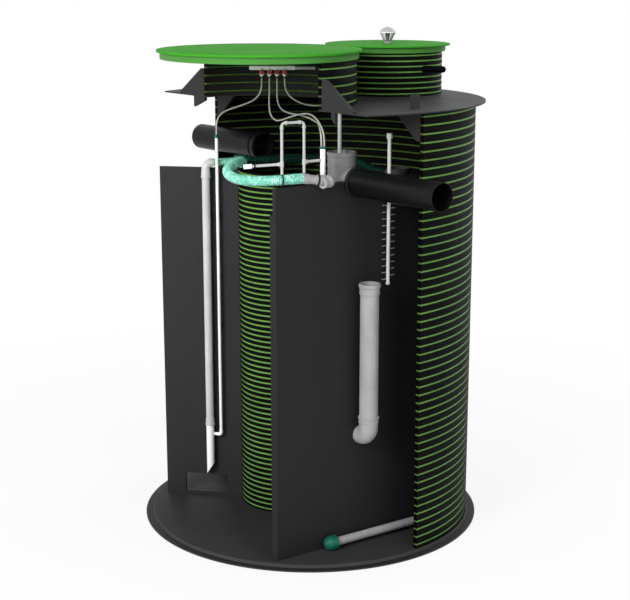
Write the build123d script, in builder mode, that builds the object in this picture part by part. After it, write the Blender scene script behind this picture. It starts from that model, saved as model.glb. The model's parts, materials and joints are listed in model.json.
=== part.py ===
# Packaged sewage treatment plant, built as a cutaway: every sub-part is its own STEP file
# Frame: mm, origin on the tank axis at the underside of the base, +Z up, -Y toward the cut-open front
import math
import os

from build123d import *

os.makedirs("parts", exist_ok=True)

# Heading of the two parallel section planes, and of the partitions
CUT_ANGLE = -50.0
LEFT_PARTITION_ANGLE = -8.8
FRONT_PARTITION_ANGLE = 35.0

# Clearance between pieces that seat on or beside each other
GAP = 0.3

# Base
FLANGE_RADIUS = 1058.0
FLANGE_THICKNESS = 7.0
FLOOR_RADIUS = 1010.0
FLOOR_THICKNESS = 18.0

# Tank shell
SHELL_RADIUS = 1000.0
SHELL_WALL = 30.0
SHELL_HEIGHT = 2589.0
SHELL_SEGMENT_ANGLE = 60.0

# Cover plate
PLATE_RADIUS = 1058.0
PLATE_THICKNESS = 8.0

# Large access shaft and its lid
SHAFT_X = -290.0
SHAFT_Y = -286.0
SHAFT_RADIUS = 568.0
SHAFT_WALL = 30.0
SHAFT_HEIGHT = 297.0
LID_FLANGE_THICKNESS = 14.0
LID_FLANGE_OVERHANG = 20.0
LID_SKIRT_CLEARANCE = 2.0
LID_SKIRT_WALL = 10.0
LID_SKIRT_DEPTH = 39.0

# Small shaft and its lid
SMALL_X = 481.0
SMALL_Y = 427.0
SMALL_RADIUS = 345.0
SMALL_WALL = 20.0
SMALL_FLANGE_THICKNESS = 10.0
SMALL_FLANGE_OVERHANG = 28.0
SMALL_SKIRT_WALL = 18.0
SMALL_SKIRT_DEPTH = 35.0

# Windings of the two shafts: one shallow weld groove between bands
SHAFT_BAND = 49.0
SMALL_BAND = 33.0
GROOVE_DEPTH = 3.0
GROOVE_WIDTH = 7.0

# Vent on the small lid
VENT_NECK_RADIUS = 28.0
VENT_NECK_HEIGHT = 30.0
VENT_BASKET_RADIUS = 46.0
VENT_BASKET_HEIGHT = 34.0
VENT_RIM_RADIUS = 54.0
VENT_RIM_THICKNESS = 6.0
VENT_CAP_HEIGHT = 32.0

# Gussets
GUSSET_THICKNESS = 20.0
GUSSET_BLUNT = 33.0
GUSSET_TIP = 9.0
SHAFT_GUSSET_LENGTH = 269.0
SHAFT_GUSSET_HEIGHT = 167.0
WALL_GUSSET_LENGTH = 224.0
WALL_GUSSET_HEIGHT = 164.0
LOW_GUSSET_REACH = 115.0
LOW_GUSSET_DROP = 66.0
LOW_GUSSET_INNER_DROP = 21.0

# Partitions and inner column
PARTITION_THICKNESS = 25.0
INNER_HEIGHT = 2159.0
LEFT_PARTITION_REACH = 625.0
LEFT_PARTITION_X = -943.0
LEFT_PARTITION_Y = 145.0
FLOOR_SLOT_START = 123.0
FLOOR_SLOT_WIDTH = 282.0
FLOOR_SLOT_SILL = 22.0
FLOOR_SLOT_HEIGHT = 123.0
FRONT_PARTITION_HEIGHT = 2191.0
FRONT_PARTITION_X = -171.0
FRONT_PARTITION_Y = -951.0
REBATE_LENGTH = 70.0
REBATE_DEPTH = 12.0
REBATE_HEIGHT = 145.0
COLUMN_X = -133.0
COLUMN_Y = 100.0
COLUMN_RADIUS = 316.0
COLUMN_WALL = 20.0

# Pipes of the main run
PIPE160 = 160.0
PIPE160_WALL = 4.0
SOCKET_WALL = 9.0
INLET_RISE = 119.0
INLET_OUTER = 1041.0
INLET_INNER = 366.0
INLET_SOCKET = 62.0
OUTLET_DROP = 11.0
OUTLET_OFFSET = -200.0
OUTLET_OUTER = 1359.0
OUTLET_INNER = 613.0
OUTLET_SEAL_RADIUS = 96.0
OUTLET_SEAL_WIDTH = 22.0
OUTLET_SEAL_SETBACK = 9.0
TEE_T = 531.0
TEE_RISE = 163.0
TEE_DROP = 160.0
TEE_SOCKET = 50.0
TEE_BRANCH = 154.0
TEE_ROD = 22.0
TEE_ROD_OVERLAP = 60.0

# Lifting lug
LUG_X = 601.0
LUG_Y = -591.0
LUG_WIDTH = 56.0
LUG_HEIGHT = 80.0
LUG_HOLE = 22.0
LUG_THICKNESS = 15.0

# Brush in front of the front partition
BRUSH_ALONG = 750.0
BRUSH_STANDOFF = 32.0
BRUSH_ROD = 22.0
BRUSH_BOTTOM = 1589.0
BRUSH_LENGTH = 885.0
BRUSH_CAP = 34.0
BRUSH_CAP_HEIGHT = 31.0
PEG_REACH = 31.0
PEG_DIAMETER = 8.0
PEG_PITCH = 39.6
PEG_COUNT = 12
PEG_FIRST = 2060.0

# Transfer pipe on the front partition
PIPE110 = 110.0
PIPE110_WALL = 3.2
TRANSFER_ALONG = 585.0
TRANSFER_STANDOFF = 78.0
TRANSFER_TOP = 1625.0
TRANSFER_LOW = 694.0
TRANSFER_BEND = 68.0
TRANSFER_SOCKET = 75.0
TRANSFER_COLLAR = 28.0
TRANSFER_BEHIND = 20.0

# Drain pipe near the floor
PIPE50 = 50.0
PIPE50_WALL = 3.0
DRAIN_ALONG = 340.0
DRAIN_CAP_RADIUS = 44.0
DRAIN_CAP_SKIRT = 34.0

# Airlift and its thin air pipe on the left partition
AIRLIFT_ALONG = 305.0
AIRLIFT_STANDOFF = 40.0
AIRLIFT_JOINT = 536.0
AIRLIFT_BOTTOM = 190.0
AIRLIFT_SLANT = 74.0
AIRLIFT_BEND = 45.0
AIRLIFT_REACH = 72.0
SOCKET50_WALL = 4.0
SOCKET50_LENGTH = 50.0
UPPER_SOCKET_DROP = 70.0
AIR_ALONG = 377.0
AIR_RISE = 190.0
AIR_LOW = 461.0
AIR_BEND = 16.0
AIR_DIAMETER = 20.0
AIR_WALL = 2.0
CLIP_HEIGHT = 14.0
CLIP_WALL = 4.0
UPPER_CLIP_Z = 1877.0
LOWER_CLIP_Z = 1171.0

# Corrugated hoses and the fittings that they join
HOSE = 58.0
COUPLING_RADIUS = 42.0
COUPLING_REACH = 46.0
COUPLING_HEIGHT = 70.0
COUPLING_Y = 150.0
REAR_PIPE_X = 549.0
REAR_PIPE_Y = 100.0
REAR_PIPE = 140.0
REAR_RIM_HEIGHT = 18.0
REAR_RIM_WALL = 5.0
REAR_STUB_DROP = 38.0
REAR_STUB_ANGLE = 149.8
REAR_STUB_DEPTH = 8.0
REAR_STUB_REACH = 12.0

# Overflow elbow on top of the front partition
ELBOW_RADIUS = 40.0
ELBOW_ALONG = 318.0
SPIGOT_ALONG = 177.0
SPIGOT_WALL = 12.0
ELBOW_MOUTH = 62.0
ELBOW_MOUTH_X = -0.24
ELBOW_MOUTH_Z = -0.06
RING_ALONG = 242.0
RING_WIDTH = 12.0
RING_RADIUS = 36.0

# Tie round the hose
TIE_WALL = 4.0
TIE_WIDTH = 8.0

# Small air pipes over the overflow elbow
SMALL_PIPE = 20.0
SMALL_FITTING = 26.0
SMALL_FITTING_LENGTH = 34.0
FRAME_RISE = 311.7
FRAME_RIGHT_ALONG = 192.0
LINK_RISE = 91.7
BRANCH_RISE = 86.7
BRANCH_LENGTH = 165.0
BRANCH_SLOPE = -0.07
BRANCH_CAP_LENGTH = 46.0
BRANCH_RING_LENGTH = 8.0
BRANCH_RING_RADIUS = 15.0
RISER = 32.0
RISER_RISE = 154.7
COLLAR_HEIGHT = 12.0
TALL_COLLAR_HEIGHT = 20.0

# Air manifold in the large shaft
MANIFOLD_LEFT = -375.0
MANIFOLD_Y = 134.0
MANIFOLD_Z = 2794.0
MANIFOLD_DIAMETER = 25.0
VALVE_X = -299.0
VALVE_PITCH = 46.8
VALVE_COUNT = 4
VALVE_DIAMETER = 18.0
VALVE_HEIGHT = 38.9
KNOB_DIAMETER = 18.0
KNOB_LENGTH = 12.0
KNOB_DROP = 12.0
HOSE_COLLAR = 14.0
AIR_HOSE = 10.0
AIR_HOSE_SPREAD = 8.0

# Fitting under the cover plate that takes the fourth air hose
FITTING_X = 330.0
FITTING_Y = 190.0
FITTING_SIZE = 34.0
FITTING_DROP = 24.0

# Conduit stub on the small shaft
STUB_ANGLE = -53.0
STUB_HEADING = -20.0
STUB_Z = 2786.0
STUB_DIAMETER = 40.0
STUB_LENGTH = 140.0

floorTop = FLANGE_THICKNESS + FLOOR_THICKNESS
shellTop = floorTop + SHELL_HEIGHT
plateTop = shellTop + PLATE_THICKNESS
shaftTop = plateTop + SHAFT_HEIGHT
leftPartitionTop = floorTop + INNER_HEIGHT
frontPartitionTop = floorTop + FRONT_PARTITION_HEIGHT
columnTop = floorTop + INNER_HEIGHT
inletZ = columnTop + INLET_RISE
outletZ = frontPartitionTop - OUTLET_DROP
shellInside = SHELL_RADIUS - SHELL_WALL

cutX = math.cos(math.radians(CUT_ANGLE))
cutY = math.sin(math.radians(CUT_ANGLE))
# Where the large shaft's axis lies along and beside the section through the tank axis
shaftT = SHAFT_X * cutX + SHAFT_Y * cutY
shaftOffset = SHAFT_Y * cutX - SHAFT_X * cutY


def unit(angle):
    # Plan direction at a heading in degrees
    return Vector(math.cos(math.radians(angle)), math.sin(math.radians(angle)), 0)


def on_cut(t, offset=0.0, z=0.0):
    # Point at distance t along a section plane that lies offset from the tank axis
    return Vector(t * cutX - offset * cutY, t * cutY + offset * cutX, z)


leftAlong = unit(LEFT_PARTITION_ANGLE)
leftOut = unit(LEFT_PARTITION_ANGLE - 90)
frontAlong = unit(FRONT_PARTITION_ANGLE)
frontOut = unit(FRONT_PARTITION_ANGLE - 90)


def on_left(along, out, z):
    # Point measured along the left partition's front face and out of it
    return Vector(LEFT_PARTITION_X, LEFT_PARTITION_Y, z) + leftAlong * along + leftOut * out


def on_front(along, out, z):
    # Point measured along the front partition's front face and out of it
    return Vector(FRONT_PARTITION_X, FRONT_PARTITION_Y, z) + frontAlong * along + frontOut * out


def save(builder, name):
    builder.part.label = name
    export_step(builder.part, "parts/" + name + ".step")


def rod(start, direction, diameter, length, mode=Mode.ADD):
    # A solid round bar from a point, worked into the part in hand
    with BuildSketch(Plane(origin=start, z_dir=direction)) as section:
        Circle(diameter / 2)
    extrude(section.sketch, amount=length, mode=mode)


def tube(start, direction, diameter, wall, length):
    # A straight pipe from a point, added to the part in hand
    with BuildSketch(Plane(origin=start, z_dir=direction)) as section:
        Circle(diameter / 2)
        Circle(diameter / 2 - wall, mode=Mode.SUBTRACT)
    extrude(section.sketch, amount=length)


def bent_tube(points, radius, diameter, wall):
    # A pipe along straight runs with one bend radius, added to the part in hand
    with BuildLine() as route:
        FilletPolyline(*points, radius=radius)
    with BuildSketch(Plane(origin=route.line @ 0, z_dir=route.line % 0)) as section:
        Circle(diameter / 2)
        Circle(diameter / 2 - wall, mode=Mode.SUBTRACT)
    sweep(section.sketch, path=route.line)


# Base: floor disc on a thin flange
with BuildPart() as base_plate:
    with BuildSketch():
        Circle(FLANGE_RADIUS)
    extrude(amount=FLANGE_THICKNESS)
    with BuildSketch(Plane.XY.offset(FLANGE_THICKNESS)):
        Circle(FLOOR_RADIUS)
    extrude(amount=FLOOR_THICKNESS)
save(base_plate, "base_plate")

# Tank shell: the half that the section leaves, in three segments
for segment, label in enumerate(("shell_front_right", "shell_right", "shell_rear")):
    start = unit(CUT_ANGLE + segment * SHELL_SEGMENT_ANGLE)
    with BuildPart() as shell:
        with BuildSketch(Plane(origin=(0, 0, 0), x_dir=start, z_dir=(start.Y, -start.X, 0))):
            with Locations((SHELL_RADIUS - SHELL_WALL / 2, (floorTop + shellTop) / 2)):
                Rectangle(SHELL_WALL, SHELL_HEIGHT)
        revolve(axis=Axis.Z, revolution_arc=SHELL_SEGMENT_ANGLE)
    save(shell, label)

# Cover plate, cut on the plane of the large shaft
with BuildPart() as cover_plate:
    with BuildSketch(Plane(origin=(0, 0, shellTop), x_dir=(cutX, cutY, 0), z_dir=(0, 0, 1))):
        Circle(PLATE_RADIUS)
        with Locations((0, shaftOffset - PLATE_RADIUS)):
            Rectangle(4 * PLATE_RADIUS, 2 * PLATE_RADIUS, mode=Mode.SUBTRACT)
    extrude(amount=PLATE_THICKNESS)
    with BuildSketch(Plane.XY.offset(shellTop)):
        with Locations((SHAFT_X, SHAFT_Y)):
            Circle(SHAFT_RADIUS - SHAFT_WALL)
        with Locations((SMALL_X, SMALL_Y)):
            Circle(SMALL_RADIUS - SMALL_WALL)
    extrude(amount=PLATE_THICKNESS, mode=Mode.SUBTRACT)
save(cover_plate, "cover_plate")


def wound_wall(name, x, y, radius, wall, band, start, sweep_angle):
    # A shaft wall wound from bands: a section with a weld groove between bands, revolved
    bands = int(SHAFT_HEIGHT / band)
    with BuildPart() as piece:
        heading = unit(start)
        with BuildSketch(Plane(origin=(x, y, plateTop), x_dir=heading, z_dir=(heading.Y, -heading.X, 0))):
            with Locations((radius - wall / 2, SHAFT_HEIGHT / 2)):
                Rectangle(wall, SHAFT_HEIGHT)
            with Locations(*[(radius, (k + 0.5) * SHAFT_HEIGHT / bands) for k in range(bands)]):
                Rectangle(2 * GROOVE_DEPTH, GROOVE_WIDTH, mode=Mode.SUBTRACT)
        revolve(axis=Axis((x, y, 0), (0, 0, 1)), revolution_arc=sweep_angle)
    save(piece, name)


def lid(name, x, y, skirt_radius, skirt_wall, skirt_depth, overhang, thickness):
    # A flat disc with a skirt that drops over the shaft
    with BuildPart() as piece:
        with BuildSketch(Plane(origin=(x, y, shaftTop), z_dir=(0, 0, 1))):
            Circle(skirt_radius + overhang)
        extrude(amount=thickness)
        with BuildSketch(Plane(origin=(x, y, shaftTop), z_dir=(0, 0, 1))):
            Circle(skirt_radius)
            Circle(skirt_radius - skirt_wall, mode=Mode.SUBTRACT)
        extrude(amount=-skirt_depth)
    save(piece, name)


# Access shafts and their lids
wound_wall("large_shaft", SHAFT_X, SHAFT_Y, SHAFT_RADIUS, SHAFT_WALL, SHAFT_BAND, CUT_ANGLE, 180)
wound_wall("small_shaft", SMALL_X, SMALL_Y, SMALL_RADIUS, SMALL_WALL, SMALL_BAND, 0, 360)
lid("large_lid", SHAFT_X, SHAFT_Y, SHAFT_RADIUS + LID_SKIRT_CLEARANCE + LID_SKIRT_WALL, LID_SKIRT_WALL,
    LID_SKIRT_DEPTH, LID_FLANGE_OVERHANG, LID_FLANGE_THICKNESS)
lid("small_lid", SMALL_X, SMALL_Y, SMALL_RADIUS + LID_SKIRT_CLEARANCE + SMALL_SKIRT_WALL, SMALL_SKIRT_WALL,
    SMALL_SKIRT_DEPTH, SMALL_FLANGE_OVERHANG, SMALL_FLANGE_THICKNESS)

# Vent: a short neck, a basket that widens upward, a rim and a conical cap
ventBase = shaftTop + SMALL_FLANGE_THICKNESS
neckTop = ventBase + VENT_NECK_HEIGHT
basketTop = neckTop + VENT_BASKET_HEIGHT
rimTop = basketTop + VENT_RIM_THICKNESS
with BuildPart() as vent_cap:
    with BuildSketch(Plane(origin=(SMALL_X, SMALL_Y, 0), x_dir=(1, 0, 0), z_dir=(0, -1, 0))):
        with BuildLine():
            Polyline((0, ventBase), (VENT_NECK_RADIUS, ventBase), (VENT_NECK_RADIUS, neckTop),
                     (VENT_BASKET_RADIUS, basketTop), (VENT_RIM_RADIUS, basketTop), (VENT_RIM_RADIUS, rimTop),
                     (0, rimTop + VENT_CAP_HEIGHT), close=True)
        make_face()
    revolve(axis=Axis((SMALL_X, SMALL_Y, 0), (0, 0, 1)), revolution_arc=360)
save(vent_cap, "vent_cap")


def gusset(t, offset, z, points):
    # A flat plate that stands on a section plane, its near face on the cut, added to the part in hand
    with BuildSketch(Plane(origin=on_cut(t, offset, z), x_dir=(cutX, cutY, 0), z_dir=(cutY, -cutX, 0))) as section:
        with BuildLine():
            Polyline(*points, close=True)
        make_face()
    extrude(section.sketch, amount=-GUSSET_THICKNESS)


# Gussets between the large shaft and the plate
with BuildPart() as shaft_gussets:
    for side in (-1, 1):
        gusset(shaftT + side * (SHAFT_RADIUS + GAP), shaftOffset, plateTop,
               [(0, 0), (side * SHAFT_GUSSET_LENGTH, 0), (side * SHAFT_GUSSET_LENGTH, GUSSET_TIP),
                (side * GUSSET_BLUNT, SHAFT_GUSSET_HEIGHT), (0, SHAFT_GUSSET_HEIGHT)])
save(shaft_gussets, "shaft_gussets")

# Low gussets that hang under the plate beside the large shaft
with BuildPart() as plate_gussets:
    gusset(shaftT - SHAFT_RADIUS, shaftOffset, shellTop,
           [(0, 0), (-LOW_GUSSET_REACH, 0), (-LOW_GUSSET_REACH, -LOW_GUSSET_DROP), (0, -LOW_GUSSET_INNER_DROP)])
    gusset(shaftT + SHAFT_RADIUS + LOW_GUSSET_REACH, shaftOffset, shellTop,
           [(0, 0), (0, -LOW_GUSSET_DROP), (-GUSSET_BLUNT, -LOW_GUSSET_DROP / 2), (-GUSSET_BLUNT, 0)])
save(plate_gussets, "plate_gussets")

# Gussets between the shell and the plate, on the section through the tank axis
with BuildPart() as shell_gussets:
    for side in (-1, 1):
        gusset(side * (shellInside - GAP), 0, shellTop,
               [(0, 0), (0, -WALL_GUSSET_HEIGHT), (-side * GUSSET_BLUNT, -WALL_GUSSET_HEIGHT),
                (-side * WALL_GUSSET_LENGTH, 0)])
save(shell_gussets, "shell_gussets")

# Lifting lug on the cover plate
with BuildPart() as lifting_lug:
    with BuildSketch(Plane(origin=(LUG_X, LUG_Y, plateTop), x_dir=(1, 0, 0), z_dir=(0, -1, 0))):
        with Locations((0, LUG_HEIGHT / 2)):
            Rectangle(LUG_WIDTH, LUG_HEIGHT)
        with Locations((0, LUG_HEIGHT - LUG_WIDTH / 2)):
            Circle(LUG_HOLE / 2, mode=Mode.SUBTRACT)
    extrude(amount=LUG_THICKNESS)
save(lifting_lug, "lifting_lug")

# Left partition: its outer end stands free, its inner end stops on the column, and it has a slot at the floor
with BuildPart() as left_partition:
    with BuildSketch(Plane(origin=on_left(0, 0, floorTop), x_dir=leftAlong, z_dir=leftOut)):
        with Locations((LEFT_PARTITION_REACH / 2, INNER_HEIGHT / 2)):
            Rectangle(LEFT_PARTITION_REACH, INNER_HEIGHT)
        with Locations((FLOOR_SLOT_START + FLOOR_SLOT_WIDTH / 2, FLOOR_SLOT_SILL + FLOOR_SLOT_HEIGHT / 2)):
            Rectangle(FLOOR_SLOT_WIDTH, FLOOR_SLOT_HEIGHT, mode=Mode.SUBTRACT)
    extrude(amount=-PARTITION_THICKNESS)
    with BuildSketch(Plane.XY.offset(floorTop)):
        with Locations((COLUMN_X, COLUMN_Y)):
            Circle(COLUMN_RADIUS + GAP)
    extrude(amount=INNER_HEIGHT, mode=Mode.SUBTRACT)
save(left_partition, "left_partition")

# Front partition: both ends follow the inside of the shell, with a round-bottomed notch for the outlet
outletAxis = unit(CUT_ANGLE)
with BuildPart() as front_partition:
    with BuildSketch(Plane(origin=on_front(0, 0, floorTop), x_dir=frontAlong, z_dir=frontOut)):
        with Locations((SHELL_RADIUS, FRONT_PARTITION_HEIGHT / 2)):
            Rectangle(4 * SHELL_RADIUS, FRONT_PARTITION_HEIGHT)
    extrude(amount=-PARTITION_THICKNESS)
    with BuildSketch(Plane.XY.offset(floorTop)):
        Circle(shellInside - GAP)
    extrude(amount=FRONT_PARTITION_HEIGHT, mode=Mode.INTERSECT)
    with BuildSketch(Plane(origin=on_cut(TEE_T, OUTLET_OFFSET, outletZ), x_dir=(-cutY, cutX, 0), z_dir=outletAxis)):
        Circle(PIPE160 / 2 + GAP)
        with Locations((0, PIPE160 / 2)):
            Rectangle(PIPE160 + 2 * GAP, PIPE160)
    extrude(amount=SHELL_RADIUS, mode=Mode.SUBTRACT)
    rod(on_front(TRANSFER_ALONG, 2 * PARTITION_THICKNESS, TRANSFER_LOW), frontOut * -1, PIPE110 + 2 * GAP,
        4 * PARTITION_THICKNESS, Mode.SUBTRACT)
    rebateCorner = on_front(-REBATE_LENGTH / 2, -PARTITION_THICKNESS, frontPartitionTop)
    with BuildSketch(Plane(origin=rebateCorner, x_dir=frontAlong, z_dir=frontOut)):
        Rectangle(REBATE_LENGTH, 2 * REBATE_HEIGHT)
    extrude(amount=REBATE_DEPTH, mode=Mode.SUBTRACT)
save(front_partition, "front_partition")

# Inner column
with BuildPart() as inner_column:
    tube(Vector(COLUMN_X, COLUMN_Y, floorTop), (0, 0, 1), 2 * COLUMN_RADIUS, COLUMN_WALL, INNER_HEIGHT)
save(inner_column, "inner_column")

# Inlet pipe beside the section, touching the cut face of the shell, its socket toward the middle
inletOffset = -(PIPE160 / 2 + GAP)
with BuildPart() as inlet_pipe:
    tube(on_cut(-INLET_OUTER, inletOffset, inletZ), outletAxis, PIPE160, PIPE160_WALL, INLET_OUTER - INLET_INNER)
    tube(on_cut(-INLET_INNER - INLET_SOCKET, inletOffset, inletZ), outletAxis, PIPE160 + 2 * SOCKET_WALL,
         SOCKET_WALL, INLET_SOCKET)
save(inlet_pipe, "inlet_pipe")

# Outlet pipe, through the notch of the front partition and on past the shell
with BuildPart() as outlet_pipe:
    tube(on_cut(OUTLET_INNER + GAP, OUTLET_OFFSET, outletZ), outletAxis, PIPE160, PIPE160_WALL,
         OUTLET_OUTER - OUTLET_INNER - GAP)
save(outlet_pipe, "outlet_pipe")

# Where the outlet's axis meets the front partition's front face
faceT = (on_front(0, 0, 0) - on_cut(0, OUTLET_OFFSET)).dot(frontOut) / outletAxis.dot(frontOut)
with BuildPart() as outlet_seal:
    tube(on_cut(faceT + OUTLET_SEAL_SETBACK, OUTLET_OFFSET, outletZ), outletAxis, 2 * OUTLET_SEAL_RADIUS,
         OUTLET_SEAL_RADIUS - PIPE160 / 2 - GAP, OUTLET_SEAL_WIDTH)
save(outlet_seal, "outlet_seal")

# Outlet tee behind the front partition: open body, socket on top, branch that holds the outlet pipe
teeBottom = outletZ - TEE_DROP
branchLength = OUTLET_INNER - TEE_T
with BuildPart() as outlet_tee:
    rod(on_cut(TEE_T, OUTLET_OFFSET, teeBottom), (0, 0, 1), PIPE160, TEE_DROP + TEE_RISE)
    rod(on_cut(TEE_T, OUTLET_OFFSET, outletZ + TEE_RISE - TEE_SOCKET), (0, 0, 1), PIPE160 + 2 * SOCKET_WALL, TEE_SOCKET)
    rod(on_cut(TEE_T, OUTLET_OFFSET, outletZ), outletAxis, TEE_BRANCH, branchLength)
    rod(on_cut(TEE_T, OUTLET_OFFSET, teeBottom), (0, 0, 1), PIPE160 - 2 * PIPE160_WALL, TEE_DROP + TEE_RISE,
        Mode.SUBTRACT)
    rod(on_cut(TEE_T, OUTLET_OFFSET, outletZ), outletAxis, TEE_BRANCH - 2 * PIPE160_WALL, branchLength, Mode.SUBTRACT)
save(outlet_tee, "outlet_tee")

# Rod that hangs on the inside of the large shaft and reaches down into the tee
shaftCentre = Vector(SHAFT_X, SHAFT_Y, outletZ)
towardTee = (on_cut(TEE_T, OUTLET_OFFSET, outletZ) - shaftCentre).normalized()
with BuildPart() as tee_rod:
    rod(shaftCentre + towardTee * (SHAFT_RADIUS - SHAFT_WALL - TEE_ROD / 2 - GAP), (0, 0, 1), TEE_ROD,
        plateTop + TEE_ROD_OVERLAP - outletZ)
save(tee_rod, "tee_rod")

# Brush: a rod with a cap and two rows of pegs
with BuildPart() as brush_rod:
    rod(on_front(BRUSH_ALONG, BRUSH_STANDOFF, BRUSH_BOTTOM), (0, 0, 1), BRUSH_ROD, BRUSH_LENGTH)
    rod(on_front(BRUSH_ALONG, BRUSH_STANDOFF, BRUSH_BOTTOM + BRUSH_LENGTH - BRUSH_CAP_HEIGHT), (0, 0, 1), BRUSH_CAP,
        BRUSH_CAP_HEIGHT)
    for k in range(PEG_COUNT):
        pegZ = PEG_FIRST - k * PEG_PITCH
        rod(on_front(BRUSH_ALONG, BRUSH_STANDOFF, pegZ), frontAlong * -1, PEG_DIAMETER, BRUSH_ROD / 2 + PEG_REACH)
        if k < PEG_COUNT - 1:
            rod(on_front(BRUSH_ALONG, BRUSH_STANDOFF, pegZ - PEG_PITCH / 2), frontAlong, PEG_DIAMETER,
                BRUSH_ROD / 2 + PEG_REACH)
save(brush_rod, "brush_rod")

# Transfer pipe: socket, long pipe, and an elbow back through the front partition
with BuildPart() as transfer_pipe:
    bent_tube([on_front(TRANSFER_ALONG, TRANSFER_STANDOFF, TRANSFER_TOP),
               on_front(TRANSFER_ALONG, TRANSFER_STANDOFF, TRANSFER_LOW),
               on_front(TRANSFER_ALONG, -PARTITION_THICKNESS - TRANSFER_BEHIND, TRANSFER_LOW)],
              TRANSFER_BEND, PIPE110, PIPE110_WALL)
    tube(on_front(TRANSFER_ALONG, TRANSFER_STANDOFF, TRANSFER_TOP - TRANSFER_SOCKET), (0, 0, 1),
         PIPE110 + 2 * SOCKET_WALL, SOCKET_WALL + PIPE110_WALL, TRANSFER_SOCKET)
    tube(on_front(TRANSFER_ALONG, TRANSFER_STANDOFF, TRANSFER_LOW + TRANSFER_BEND + TRANSFER_COLLAR), (0, 0, 1),
         PIPE110 + SOCKET_WALL, SOCKET_WALL / 2 + PIPE110_WALL, TRANSFER_COLLAR)
save(transfer_pipe, "transfer_pipe")

# Drain pipe near the floor, from its ball cap to the shell
drainZ = floorTop + DRAIN_CAP_RADIUS + GAP
drainCentre = on_front(DRAIN_ALONG, DRAIN_CAP_RADIUS + GAP, drainZ)
drainSpan = math.sqrt((shellInside - GAP) ** 2 - (drainCentre.dot(frontOut) + PIPE50 / 2) ** 2)
drainLength = drainSpan - drainCentre.dot(frontAlong)
with BuildPart() as drain_pipe:
    tube(drainCentre + frontAlong * (DRAIN_CAP_SKIRT + GAP), frontAlong, PIPE50, PIPE50_WALL,
         drainLength - DRAIN_CAP_SKIRT - GAP)
save(drain_pipe, "drain_pipe")
with BuildPart() as drain_cap:
    with BuildSketch(Plane(origin=drainCentre, x_dir=frontAlong, z_dir=frontOut)):
        with BuildLine():
            Polyline((-DRAIN_CAP_RADIUS, 0), (-0.93 * DRAIN_CAP_RADIUS, 0.37 * DRAIN_CAP_RADIUS),
                     (-0.71 * DRAIN_CAP_RADIUS, 0.71 * DRAIN_CAP_RADIUS), (-0.37 * DRAIN_CAP_RADIUS, 0.93 * DRAIN_CAP_RADIUS),
                     (0, DRAIN_CAP_RADIUS), (DRAIN_CAP_SKIRT, DRAIN_CAP_RADIUS), (DRAIN_CAP_SKIRT, 0), close=True)
        make_face()
    revolve(axis=Axis(drainCentre, frontAlong), revolution_arc=360)
save(drain_cap, "drain_cap")

# Coupling that the hoses join at, on the rim of the inner column
couplingZ = columnTop + COUPLING_HEIGHT / 2 + GAP
couplingX = COLUMN_X - math.sqrt((COLUMN_RADIUS - COLUMN_WALL / 2) ** 2 - (COUPLING_Y - COLUMN_Y) ** 2)
couplingCentre = Vector(couplingX, COUPLING_Y, couplingZ)
mintHeading = Vector(0.07, -1, 0.045).normalized()
rearHeading = Vector(1, 0.09, 0).normalized()
airliftTurn = on_left(AIRLIFT_ALONG, AIRLIFT_STANDOFF, couplingZ)
shortHeading = (couplingCentre - airliftTurn).normalized()
with BuildPart() as hose_coupling:
    rod(couplingCentre - Vector(0, 0, COUPLING_HEIGHT / 2), (0, 0, 1), 2 * COUPLING_RADIUS, COUPLING_HEIGHT)
    rod(couplingCentre, mintHeading, HOSE, COUPLING_REACH)
    rod(couplingCentre, rearHeading, HOSE, COUPLING_REACH)
    rod(couplingCentre, shortHeading * -1, PIPE50, COUPLING_REACH)
save(hose_coupling, "hose_coupling")

# Airlift: upper elbow toward the coupling, sockets and long pipe, then a foot with a slanted mouth
airliftEnd = airliftTurn + shortHeading * AIRLIFT_REACH
with BuildPart() as airlift_pipe:
    bent_tube([on_left(AIRLIFT_ALONG, AIRLIFT_STANDOFF, AIRLIFT_JOINT), airliftTurn, airliftEnd],
              AIRLIFT_BEND, PIPE50, PIPE50_WALL)
    for socketZ in (AIRLIFT_JOINT, couplingZ - AIRLIFT_BEND - UPPER_SOCKET_DROP):
        tube(on_left(AIRLIFT_ALONG, AIRLIFT_STANDOFF, socketZ), (0, 0, 1), PIPE50 + 2 * SOCKET50_WALL,
             SOCKET50_WALL + PIPE50_WALL, SOCKET50_LENGTH)
save(airlift_pipe, "airlift_pipe")
with BuildPart() as airlift_foot:
    tube(on_left(AIRLIFT_ALONG, AIRLIFT_STANDOFF, AIRLIFT_BOTTOM), (0, 0, 1), PIPE50, PIPE50_WALL,
         AIRLIFT_JOINT - AIRLIFT_BOTTOM - GAP)
    slantStart = on_left(AIRLIFT_ALONG - PIPE50 / 2, AIRLIFT_STANDOFF + PIPE50, AIRLIFT_BOTTOM)
    with BuildSketch(Plane(origin=slantStart, x_dir=leftAlong, z_dir=leftOut)):
        with BuildLine():
            Polyline((0, 0), (PIPE50, AIRLIFT_SLANT), (PIPE50, 0), close=True)
        make_face()
    extrude(amount=-2 * PIPE50, mode=Mode.SUBTRACT)
save(airlift_foot, "airlift_foot")

# Short hose from the airlift's elbow to the coupling
with BuildPart() as airlift_hose:
    tube(airliftEnd + shortHeading * GAP, shortHeading, PIPE50, PIPE50_WALL,
         (couplingCentre - airliftEnd).length - COUPLING_REACH - 2 * GAP)
save(airlift_hose, "airlift_hose")

# Thin air pipe beside the airlift, with an elbow to its foot
airTop = leftPartitionTop + AIR_RISE
with BuildPart() as air_pipe:
    bent_tube([on_left(AIR_ALONG, AIRLIFT_STANDOFF, airTop), on_left(AIR_ALONG, AIRLIFT_STANDOFF, AIR_LOW),
               on_left(AIRLIFT_ALONG + PIPE50 / 2 + GAP, AIRLIFT_STANDOFF, AIR_LOW)], AIR_BEND, AIR_DIAMETER, AIR_WALL)
save(air_pipe, "air_pipe")


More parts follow.
